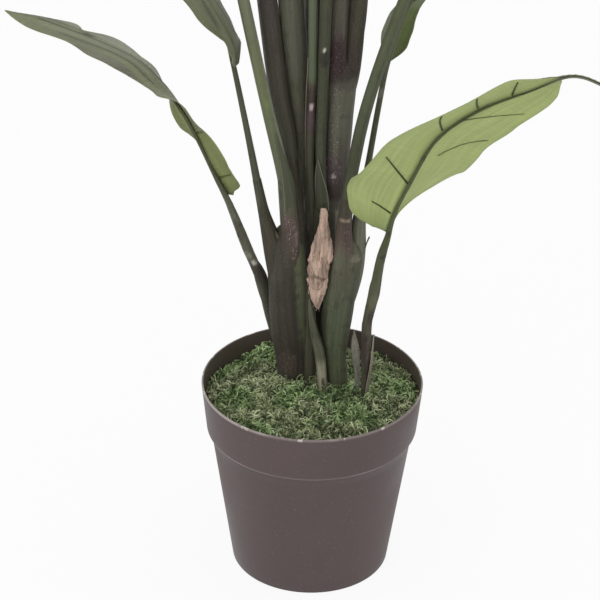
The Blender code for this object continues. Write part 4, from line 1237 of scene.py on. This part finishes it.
        "stalk": [(14, 17.5, 388, 4.4), (13.8, 17, 412, 5.9), (14.2, 17, 440, 7.1), (14.8, 17.5, 475, 7.5),
                  (21, 26, 590, 6.4), (33, 43, 760, 4.8), (45, 60, 900, 3.3)],
        "blade": [(58, 78, 985, -5, 20), (78, 104, 1070, -3, 8), (106, 138, 1145, 0, -3),
                  (140, 178, 1205, 3, -10), (178, 222, 1245, 5, -14)],
        "swell": 1.06,
        "stops": [(388, (70, 62, 58)), (420, (74, 68, 62)), (480, (80, 77, 65)), (600, (76, 80, 58)),
                  (900, (80, 86, 56))],
        "spots": [(434, -10, 17, 60, (72, 58, 62), 0.9, 0.4), (450, 40, 50, 16, (92, 90, 78), 0.5, 0.1)],
    },
    "right": {
        "seed": 13, "width": 140, "foot": (-8, 28),
        "stalk": [(23.4, 20.6, 388, 4.1), (24.8, 21.8, 412, 5.1), (27.4, 23.7, 440, 6.1),
                  (29.4, 25, 475, 6.8), (37, 31, 600, 5.8), (66, 44, 715, 3.2)],
        "blade": [(102, 58, 790, -6, 20), (150, 76, 855, -3, 8), (208, 95, 900, 0, -4),
                  (272, 112, 925, 4, -12), (336, 126, 925, 8, -16)],
        "swell": 1.12,
        "stops": [(388, (58, 54, 46)), (420, (64, 60, 50)), (480, (68, 67, 55)), (600, (72, 76, 54)),
                  (720, (80, 86, 56))],
        "spots": [(425, 20, 14, 60, (56, 48, 44), 0.6, 0.2)],
    },
}


def leafPath(leaf):  # the whole route: place, radius, roll, fold, share of the blade, tangent and level
    stalk = np.array(leaf["stalk"], float)
    blade = np.array(leaf["blade"], float)
    places = smoothPath(np.vstack([stalk[:, :3], blade[:, :3]])) * mm
    first = (len(stalk) - 1) * rowsPerSpan
    radii = smoothPath(stalk[:, 3:4])[:, 0] * mm
    reached = lengthsAlong(places)
    share = np.clip((reached - reached[first]) / (reached[-1] - reached[first]), 0, 1)
    thick = radii[-1] + (bladeLook["tipRadius"] - radii[-1]) * share
    thick = thick * (1 - leaf["slim"] * np.clip(share / bladeLook["slimShare"], 0, 1))
    thick[:first] = radii[:first]
    turns = np.zeros((len(places), 2))
    turns[first:] = smoothPath(np.vstack([leaf["foot"], blade[:, 3:5]]))
    tangents, level = frameAlong(places, np.array([0, 0, 1.0]))
    return np.concatenate([places, thick[:, None], turns, share[:, None], tangents, level], 1), first


def makeStalk(name, leaf):
    rows, first = leafPath(leaf)
    end = first + round((len(rows) - 1 - first) * bladeLook["midribShare"]) + 1
    rows = evenly(rows[:end], stalkRowSpacing)
    rows[:, 3] *= leaf["swell"]
    item = makeStem(f"stalk_{name}_body", rows, unit(rows[:, 10:13]), {**stalkShape, **leaf["shape"]},
                    stemFinishes[leaf["stalkSlot"]], leaf)
    compareBoxes(item, f"stalk_{name}")
    finishPiece(item, leaf["stalkSlot"], f"stalk_{name}")


def bladeHalves(leaf, share):  # the widths of the minus and the plus half at each share along the blade
    if "edges" in leaf:
        return halfWidths(leaf["edges"], share)
    stretched = share ** (math.log(0.5) / math.log(leaf["widest"]))
    half = leaf["width"] * mm / 2 * np.sin(np.pi * np.clip(stretched, 0, 1)) ** 0.6
    phases = [leaf["seed"] * 1.7 + side * 2.4 for side in (0, 1)]
    waves = [np.sin(share * 17 + phase) + 0.5 * np.sin(share * 41 + phase * 2.1) for phase in phases]
    return [half * (1 + bladeLook["waves"] * wave) for wave in waves]


def bladeHeight(leaf, along, across, share, turn, width, fold):  # how high the sheet stands over its midrib
    away, rise = np.abs(across), np.abs(turn)[None, :]
    seed = leaf["seed"]
    sides = np.where(turn < 0, 0.0, 1.9)[None, :]
    slanted = along - away * bladeLook["lean"]
    bulge = leaf["bulge"] * width * 4 * rise * (1 - rise)
    swell = np.sin(share[:, None] * 2 * math.pi * leaf["rippleCount"] + seed * 2.3 + sides)
    ripple = leaf["ripple"] * width * rise ** 2.2 * swell
    calm = np.clip(rise * 3, 0, 1) * np.clip((1 - rise) * 6, 0.25, 1)
    pleats = bladeLook["pleat"] * calm * np.sin(2 * math.pi * slanted / bladeLook["pleatSpacing"])
    crumple = np.sin(slanted / (19 * mm) + np.sin(away / (9 * mm) + seed) * 1.2)
    crumple = crumple * np.sin(away / (13 * mm) + seed * 2 + sides)
    crumple = bladeLook["crumple"] * crumple * np.clip(rise * 2, 0, 1)
    groove = bladeLook["groove"] * np.clip(away / bladeLook["grooveWidth"], 0, 1)
    return away * np.sin(fold)[:, None] + bulge + ripple + pleats + crumple + groove


def upperNormals(grid, up):  # a grid's normals, on the side that up points to
    normals = unit(np.cross(np.gradient(grid, axis=1), np.gradient(grid, axis=0)))
    return normals * np.sign((normals * up[:, None, :]).sum(2, keepdims=True))


def bladeGrid(leaf):
    rows, first = leafPath(leaf)
    rows = evenly(rows[first:], bladeLook["rowSpacing"])
    places, thick, share = rows[:, :3], rows[:, 3], rows[:, 6]
    roll, fold = np.radians(rows[:, 4:5]), np.radians(rows[:, 5])
    tangents, level = unit(rows[:, 7:10]), unit(rows[:, 10:13])
    up = level * np.cos(roll) + np.cross(tangents, level) * np.sin(roll)
    side = np.cross(tangents, up)
    turn = np.linspace(-1, 1, 2 * bladeLook["columns"] + 1)
    minus, plus = (np.maximum(half, bladeLook["leastHalfWidth"]) for half in bladeHalves(leaf, share))
    across = np.where(turn < 0, minus[:, None] * turn, plus[:, None] * turn)
    along = lengthsAlong(places)[:, None]
    height = bladeHeight(leaf, along, across, share, turn, np.maximum(minus, plus)[:, None], fold)
    centre = places + up * ((thick + gap) / np.cos(fold))[:, None]
    lower = centre[:, None, :] + side[:, None, :] * (across * np.cos(fold)[:, None])[:, :, None]
    lower = lower + up[:, None, :] * height[:, :, None]
    grain = np.stack([across, np.abs(turn) + 0 * across, along + 0 * across], 2)
    return lower, upperNormals(lower, up), grain, share


def bladeColours(leaf, grain, share, colour, seed):  # a darker foot and broad lengthwise bands
    across, along = grain[:, :, 0], grain[:, :, 2]
    band = np.sin(across / bladeLook["bandWidth"] + np.sin(along / (31 * mm) + seed) * 1.6 + seed)
    foot = np.clip(1 - share / bladeLook["footShare"], 0, 1)[:, None] * bladeLook["footShade"]
    tone = 1 + band * leaf["bands"] - foot
    return (np.array(srgb(*colour)) * tone[:, :, None]).reshape(-1, 3)


def addMarks(colours, marks, grain, share):
    # each mark: from and to along the blade, from and to in mm across it, its colour and strength
    across = grain[:, :, 0] / mm
    for low, high, inner, outer, colour, strength in marks:
        weight = np.clip(np.minimum(share - low, high - share) / 0.02, 0, 1)[:, None]
        weight = weight * np.clip(np.minimum(across - inner, outer - across) / 1.5, 0, 1) * strength
        colours = blendIn(colours, weight.ravel(), srgb(*colour))
    return colours


def makeBlade(name, leaf):
    lower, normals, grain, share = bladeGrid(leaf)
    mesh = closedSheet(f"blade_{name}_cloth", lower + normals * bladeLook["thickness"], lower, grain,
                       [topFinish, underFinish])
    tops = bladeColours(leaf, grain, share, leaf["topColour"], leaf["seed"])
    unders = bladeColours(leaf, grain, share, leaf["underColour"], leaf["seed"] + 1)
    if "dryFrom" in leaf:  # from there on to the tip the underside is as dry as the top
        past = np.repeat(np.clip((share - leaf["dryFrom"]) / 0.01, 0, 1), grain.shape[1])
        unders = blendIn(unders, past, srgb(*leaf["topColour"]))
    tops = addMarks(tops, leaf["topMarks"], grain, share)
    unders = addMarks(unders, leaf["underMarks"], grain, share)
    paint(mesh, np.concatenate([tops, unders]))
    item = addObject(mesh.name, mesh)
    compareBoxes(item, f"blade_{name}")
    finishPiece(item, leaf["bladeSlot"], f"blade_{name}")
    return lower, normals, share


# Moulded side ribs under the blades: Geometry Nodes sweep each drawn line into a tapered rib

ribLook = {
    "sides": 6, "sunk": 0.3, "steps": 9, "pairs": 5, "first": 0.1, "apart": 0.155, "start": 0.05,
    "reach": 0.62, "forward": 0.055, "faintRadius": 0.6, "faintColour": (116, 126, 84),
}


def makeRibTree():
    tree, given, out = newTree("bladeRibs", "GeometryNodeTree", {
        "Geometry": "Geometry", "Radius": 0.0007, "Sides": 6, "Taper": 0.4, "Finish": "Material"},
        {"Geometry": "Geometry"})
    spline = tree.nodes.new("GeometryNodeSplineParameter").outputs
    lines = addNode(tree, "GeometryNodeMeshToCurve", {"Mesh": given["Geometry"]})
    lines = store(tree, lines, "grain", combined(tree, 0.0, 0.0, spline["Length"]), "FLOAT_VECTOR")
    thick = calc(tree, "SUBTRACT", 1.0, times(tree, spline["Factor"], given["Taper"]))
    swept = sweep(tree, lines, roundProfile(tree, given["Sides"], given["Radius"]), thick)
    smooth = addNode(tree, "GeometryNodeSetShadeSmooth", {"Geometry": swept})
    return endTree(tree, out, smooth, given["Finish"])


def ribLines(leaf):  # each line: share at the midrib and at its end, which half, where it starts and ends
    draw = np.random.default_rng(leaf["seed"])
    lines = []
    for pair in range(ribLook["pairs"]):
        for half in (-1, 1):
            start = ribLook["first"] + ribLook["apart"] * pair + draw.uniform(-0.02, 0.02)
            reach = ribLook["reach"] * draw.uniform(0.75, 1.15)
            lines.append((start, start + ribLook["forward"], half, ribLook["start"], reach))
    return lines


def onSheet(sheet, row, column, depth):  # the point between four corners of the sheet, sunk into it
    lower, normals, _ = sheet
    r, c = min(int(row), lower.shape[0] - 2), min(int(column), lower.shape[1] - 2)
    u, v = row - r, column - c
    near = lower[r, c] * (1 - u) * (1 - v) + lower[r + 1, c] * u * (1 - v)
    return near + lower[r, c + 1] * (1 - u) * v + lower[r + 1, c + 1] * u * v - normals[r, c] * depth


def makeRibs(prefix, name, leaf, sheet, lines, radius, colour):
    lower, _, share = sheet
    steps = np.linspace(0, 1, ribLook["steps"])
    places, edges = [], []
    for start, end, half, inner, outer in lines:
        rows = np.interp(start + (end - start) * steps, share, np.arange(len(share)))
        columns = (1 + half * (inner + (outer - inner) * steps)) / 2 * (lower.shape[1] - 1)
        edges += [(len(places) + n, len(places) + n + 1) for n in range(len(steps) - 1)]
        places += [onSheet(sheet, *place, radius * ribLook["sunk"]) for place in zip(rows, columns)]
    mesh = bpy.data.meshes.new(prefix)
    mesh.from_pydata(places, edges, [])
    item = grow(f"{prefix}_{name}", mesh, ribTree, {
        "Radius": radius, "Sides": ribLook["sides"], "Finish": stemFinishes["low_stalk"]})
    paint(item.data, srgb(*colour))
    finishPiece(item, leaf["bladeSlot"], f"blade_{name}")


ribTree = makeRibTree()
topFinish = makeBladeFinish("bladeTopCloth", {
    "roughness": 0.5, "sheen": 0.1, "veins": 0.05, "creases": 0.12, "edging": 0.5, "relief": 0.6,
    "edgeColour": srgb(120, 116, 92), "seam": 0.4, "seamColour": srgb(96, 104, 72)})
underFinish = makeBladeFinish("bladeUnderCloth", {
    "roughness": 0.68, "sheen": 0.05, "veins": 0.03, "creases": 0.05, "edging": 0.35, "relief": 0.6,
    "edgeColour": srgb(170, 180, 120), "seam": 0.0, "seamColour": srgb(96, 104, 72)})

for name, ownLook in leaves.items():
    leaf = {**usualLeaf, **ownLook}
    makeStalk(name, leaf)
    sheet = makeBlade(name, leaf)
    radius = leaf["ribRadius"]
    lines = leaf["ribs"] if "ribs" in leaf else ribLines(leaf)
    makeRibs("ribs", name, leaf, sheet, lines, radius, leaf["ribColour"])
    if "faintRibs" in leaf:
        makeRibs("faint_ribs", name, leaf, sheet, leaf["faintRibs"], radius * ribLook["faintRadius"],
                 ribLook["faintColour"])
print("leaves are made")


# Husk: a torn dry scale over the joint of the trunks, with loose fibres that Geometry Nodes lay on it

huskLook = {
    "points": [(5.5, 10, 302), (5.4, 3, 287), (5.2, -0.5, 265), (4.8, -1.5, 243), (3.2, 0, 220)],
    "edges": [(0, 1.2, 3.0), (0.03, 1.5, 3.9), (0.14, 2.2, 4.8), (0.26, 4.9, 6.8), (0.35, 7.4, 8.0),
              (0.42, 8.0, 8.8), (0.47, 8.6, 8.5), (0.58, 9.7, 6.0), (0.7, 9.5, 5.9), (0.83, 7.2, 4.6),
              (0.92, 4.8, 2.8), (1, 0.8, 1.0)],
    "thickness": 1.2, "rowSpacing": 0.6 * mm, "columns": 56, "curl": 0.3, "tear": 0.11, "tears": 30,
    "foldShare": 0.67, "foldWidth": 0.013, "foldDepth": 1.1, "crackWidth": 0.1, "crackDepth": 1.1,
    "colours": [srgb(250, 226, 206), srgb(216, 184, 164), srgb(172, 132, 112)], "crackTone": 0.52,
    "fibres": 170, "fibreRadius": 0.17 * mm, "area": 0.0012, "seed": 3,
}


def huskRelief(ragged, share, turn):  # in mm: ridges along it, plates with cracks between them, and the fold
    look = huskLook
    flow = ragged / mm + 0.8 * np.sin(share * 13 + 1) + 0.3 * np.sin(share * 47)
    ridges = 0.16 * np.sin(flow * 5.1) + 0.2 * np.sin(flow * 1.9 + 3 * share)
    plates = np.sin(share * 17 + 1.3 * np.sin(flow * 0.45)) + 0.5 * np.sin(flow * 0.7 + share * 5)
    cracks = np.clip(1 - np.abs(plates) / look["crackWidth"], 0, 1) * np.clip((share - 0.3) / 0.2, 0, 1)
    fold = np.exp(-((share - look["foldShare"] - 0.012 * np.sin(turn * 4)) / look["foldWidth"]) ** 2)
    return ridges - look["crackDepth"] * cracks + 0.45 * plates - look["foldDepth"] * fold * (turn < 0.6)


def makeFibreTree():
    tree, given, out = newTree("huskFibres", "GeometryNodeTree", {
        "Geometry": "Geometry", "Amount": 300, "Radius": 0.00015, "Seed": 0, "Finish": "Material"},
        {"Geometry": "Geometry"})
    dots = scatter(tree, given, huskLook["area"])
    dots = store(tree, dots, "shade", chance(tree, given, 0.1, 1.0, 5))
    line = addNode(tree, "GeometryNodeCurvePrimitiveBezierSegment", {
        "Resolution": 5, "Start": (0, 0, -3.4 * mm), "Start Handle": (0.9 * mm, 0, -1.2 * mm),
        "End Handle": (-0.7 * mm, 0.5 * mm, 1.2 * mm), "End": (0.4 * mm, 0.9 * mm, 3.4 * mm)})
    strand = sweep(tree, line, roundProfile(tree, 3, given["Radius"]))
    stray = combined(tree, chance(tree, given, -0.3, 0.3, 7), chance(tree, given, -0.12, 0.12, 9))
    lean = vectorCalc(tree, "ADD", named(tree, "flow", "FLOAT_VECTOR"), stray)
    upright = addNode(tree, "FunctionNodeAlignRotationToVector", {"Vector": lean}, axis="Z")
    spin = addNode(tree, "FunctionNodeAxisAngleToRotation", {
        "Axis": (0, 0, 1), "Angle": chance(tree, given, 0.0, 6.28, 13)})
    turned = addNode(tree, "FunctionNodeRotateRotation", {0: upright, 1: spin}, rotation_space="LOCAL")
    size = chance(tree, given, 0.35, 1.1, 17)
    placed = addNode(tree, "GeometryNodeInstanceOnPoints", {
        "Points": dots, "Instance": strand, "Rotation": turned, "Scale": size})
    return endTree(tree, out, placed, given["Finish"])


def makeFibres(outer, tangents, finish):
    faces = np.roll(gridFaces(*outer.shape[:2])[1][:, ::-1], 1, axis=1)
    ground = bpy.data.meshes.new("husk_front")
    ground.from_pydata(outer.reshape(-1, 3), [], faces.tolist())
    setAttribute(ground, "flow", np.repeat(tangents, outer.shape[1], 0))
    item = grow("husk_fibres", ground, makeFibreTree(), {
        "Amount": huskLook["fibres"], "Radius": huskLook["fibreRadius"], "Seed": huskLook["seed"],
        "Finish": finish})
    setAttribute(item.data, "grain", placesOf(item.data))
    finishPiece(item, "husk", "husk")
    print(f"  husk_fibres: {len(item.data.polygons)} faces")


def makeHusk():
    look = huskLook
    finish = makeScaleFinish("huskFibre", *look["colours"], look["crackTone"])
    places = evenly(smoothPath(look["points"]) * mm, look["rowSpacing"])
    tangents, front = frameAlong(places, np.array([0, -1.0, 0]))
    front, side = front[:, None], np.cross(front, tangents)[:, None]
    along = lengthsAlong(places)
    share = along / along[-1]
    draw = np.random.default_rng(look["seed"])
    halves = []
    for half in halfWidths(look["edges"], share):
        tears = draw.uniform(-look["tear"], look["tear"], look["tears"] + 1)
        torn = half * (1 + np.interp(share * look["tears"], np.arange(look["tears"] + 1), tears))
        halves.append(torn[:, None])
    left, right = halves
    turn = np.linspace(-1, 1, look["columns"])
    ragged = np.where(turn > 0, right * turn, left * turn)
    relief = huskRelief(ragged, share[:, None], turn)
    depth = (relief + look["thickness"] / 2) * mm - np.maximum(left, right) * look["curl"] * turn ** 2
    outer = places[:, None] + side * ragged[:, :, None] + front * depth[:, :, None]
    inner = outer - front * (look["thickness"] * mm)
    grain = np.stack([ragged, np.abs(turn) + 0 * ragged, along[:, None] + 0 * ragged], 2)
    mesh = closedSheet("husk_scale", outer, inner, grain, [finish])
    # painted shade: the scale is painted darker where its relief is low, in the cracks and the fold, and
    # lighter on its ridges
    setAttribute(mesh, "shade", np.clip(0.6 + 0.5 * twice(relief), 0, 1))
    item = addObject("husk_scale", mesh)
    compareBoxes(item, "husk")
    finishPiece(item, "husk", "husk")
    makeFibres(outer, tangents, finish)


makeHusk()
print("husk is made")


# Sheath tips: thin pointed scales round the stalks. Heights, lift and flare are in mm, and angles in degrees
# from the front. "half" is how far each side reaches round, and a higher "point" keeps it wide for longer.

tipLook = {
    "rows": 40, "columns": 22, "thickness": 0.6, "curl": 0.3, "ragged": 0.6, "flecks": 0.1, "shade": 0.5,
}
sheathTips = {
    "tip_back_left": {
        "stem": "back_left", "from": 330, "to": 424, "angle": 54, "half": 56, "turn": 8, "point": 1.5,
        "lift": 1.7, "colour": (88, 86, 72), "topColour": (98, 94, 82), "edge": (184, 174, 156),
        "edging": 0.95,
    },
    "tip_mid_right": {
        "stem": "mid_right", "from": 256, "to": 277, "angle": 86, "half": 40, "turn": -4, "point": 1.2,
        "lift": 1.9, "flare": 3.0, "colour": (82, 84, 66), "topColour": (92, 90, 76),
        "edge": (140, 136, 118), "edging": 0.6,
    },
    "tip_low_right": {
        "stem": "low_right", "from": 146, "to": 207, "angle": 66, "half": 62, "turn": 6, "point": 1.1,
        "lift": 0.7, "flare": 1.0, "colour": (124, 116, 102), "topColour": (164, 156, 140),
        "edge": (176, 168, 150), "edging": 0.7,
    },
    "tip_top": {
        "stem": "top", "from": 296, "to": 346, "angle": -6, "half": 74, "turn": -18, "point": 1.7,
        "lift": 0.9, "colour": (84, 88, 70), "topColour": (92, 94, 78), "edge": (196, 188, 164),
        "edging": 0.95,
    },
    "tip_front_left": {
        "stem": "front_left", "from": 300, "to": 372, "angle": 40, "half": 60, "turn": -14, "point": 1.6,
        "lift": 0.5, "colour": (88, 92, 72), "topColour": (98, 104, 82), "edge": (158, 156, 132),
        "edging": 0.7,
    },
}


def makeTip(name, look):
    route = smoothPath(leaves[look["stem"]]["stalk"]) * mm
    share = np.linspace(0, 1, tipLook["rows"])[:, None]
    turn = np.linspace(-1, 1, tipLook["columns"])[None, :]
    heights = (look["from"] + (look["to"] - look["from"]) * share) * mm
    x, y, radius = (np.interp(heights, route[:, 2], route[:, column]) for column in (0, 1, 3))
    half = look["half"] * np.maximum(1 - share ** look["point"], 0.02)
    angle = np.radians(look["angle"] + look["turn"] * share + half * turn)
    lift = (look["lift"] + look.get("flare", 0) * share ** 3 + tipLook["curl"] * turn ** 2) * mm
    low = heights + tipLook["ragged"] * mm * np.sin(turn * 5 + share * 9)

    def shell(thickness):
        reach = radius + lift + thickness * mm
        return np.stack([x + reach * np.sin(angle), y - reach * np.cos(angle), low], 2)

    rim, shares = np.abs(turn) + 0 * share, share + 0 * turn
    grain = np.stack([half * turn / 60 * radius, rim, heights + 0 * turn], 2)
    mesh = closedSheet(name, shell(tipLook["thickness"]), shell(0.0), grain, [stemFinishes["sheath"]])
    foot, top = (np.array(srgb(*look[key])) for key in ("colour", "topColour"))
    colours = foot * (1 - twice(shares)[:, None]) + top * twice(shares)[:, None]
    edge = np.clip((twice(rim) - 0.86) / 0.1, 0, 1) * look["edging"]
    paint(mesh, blendIn(colours, edge, srgb(*look["edge"])), tipLook["flecks"])
    setAttribute(mesh, "shade", np.full(len(mesh.vertices), tipLook["shade"]))
    finishPiece(addObject(name, mesh), "sheath")


for name, look in sheathTips.items():
    makeTip(f"sheath_{name}", look)
print("sheath tips are made")
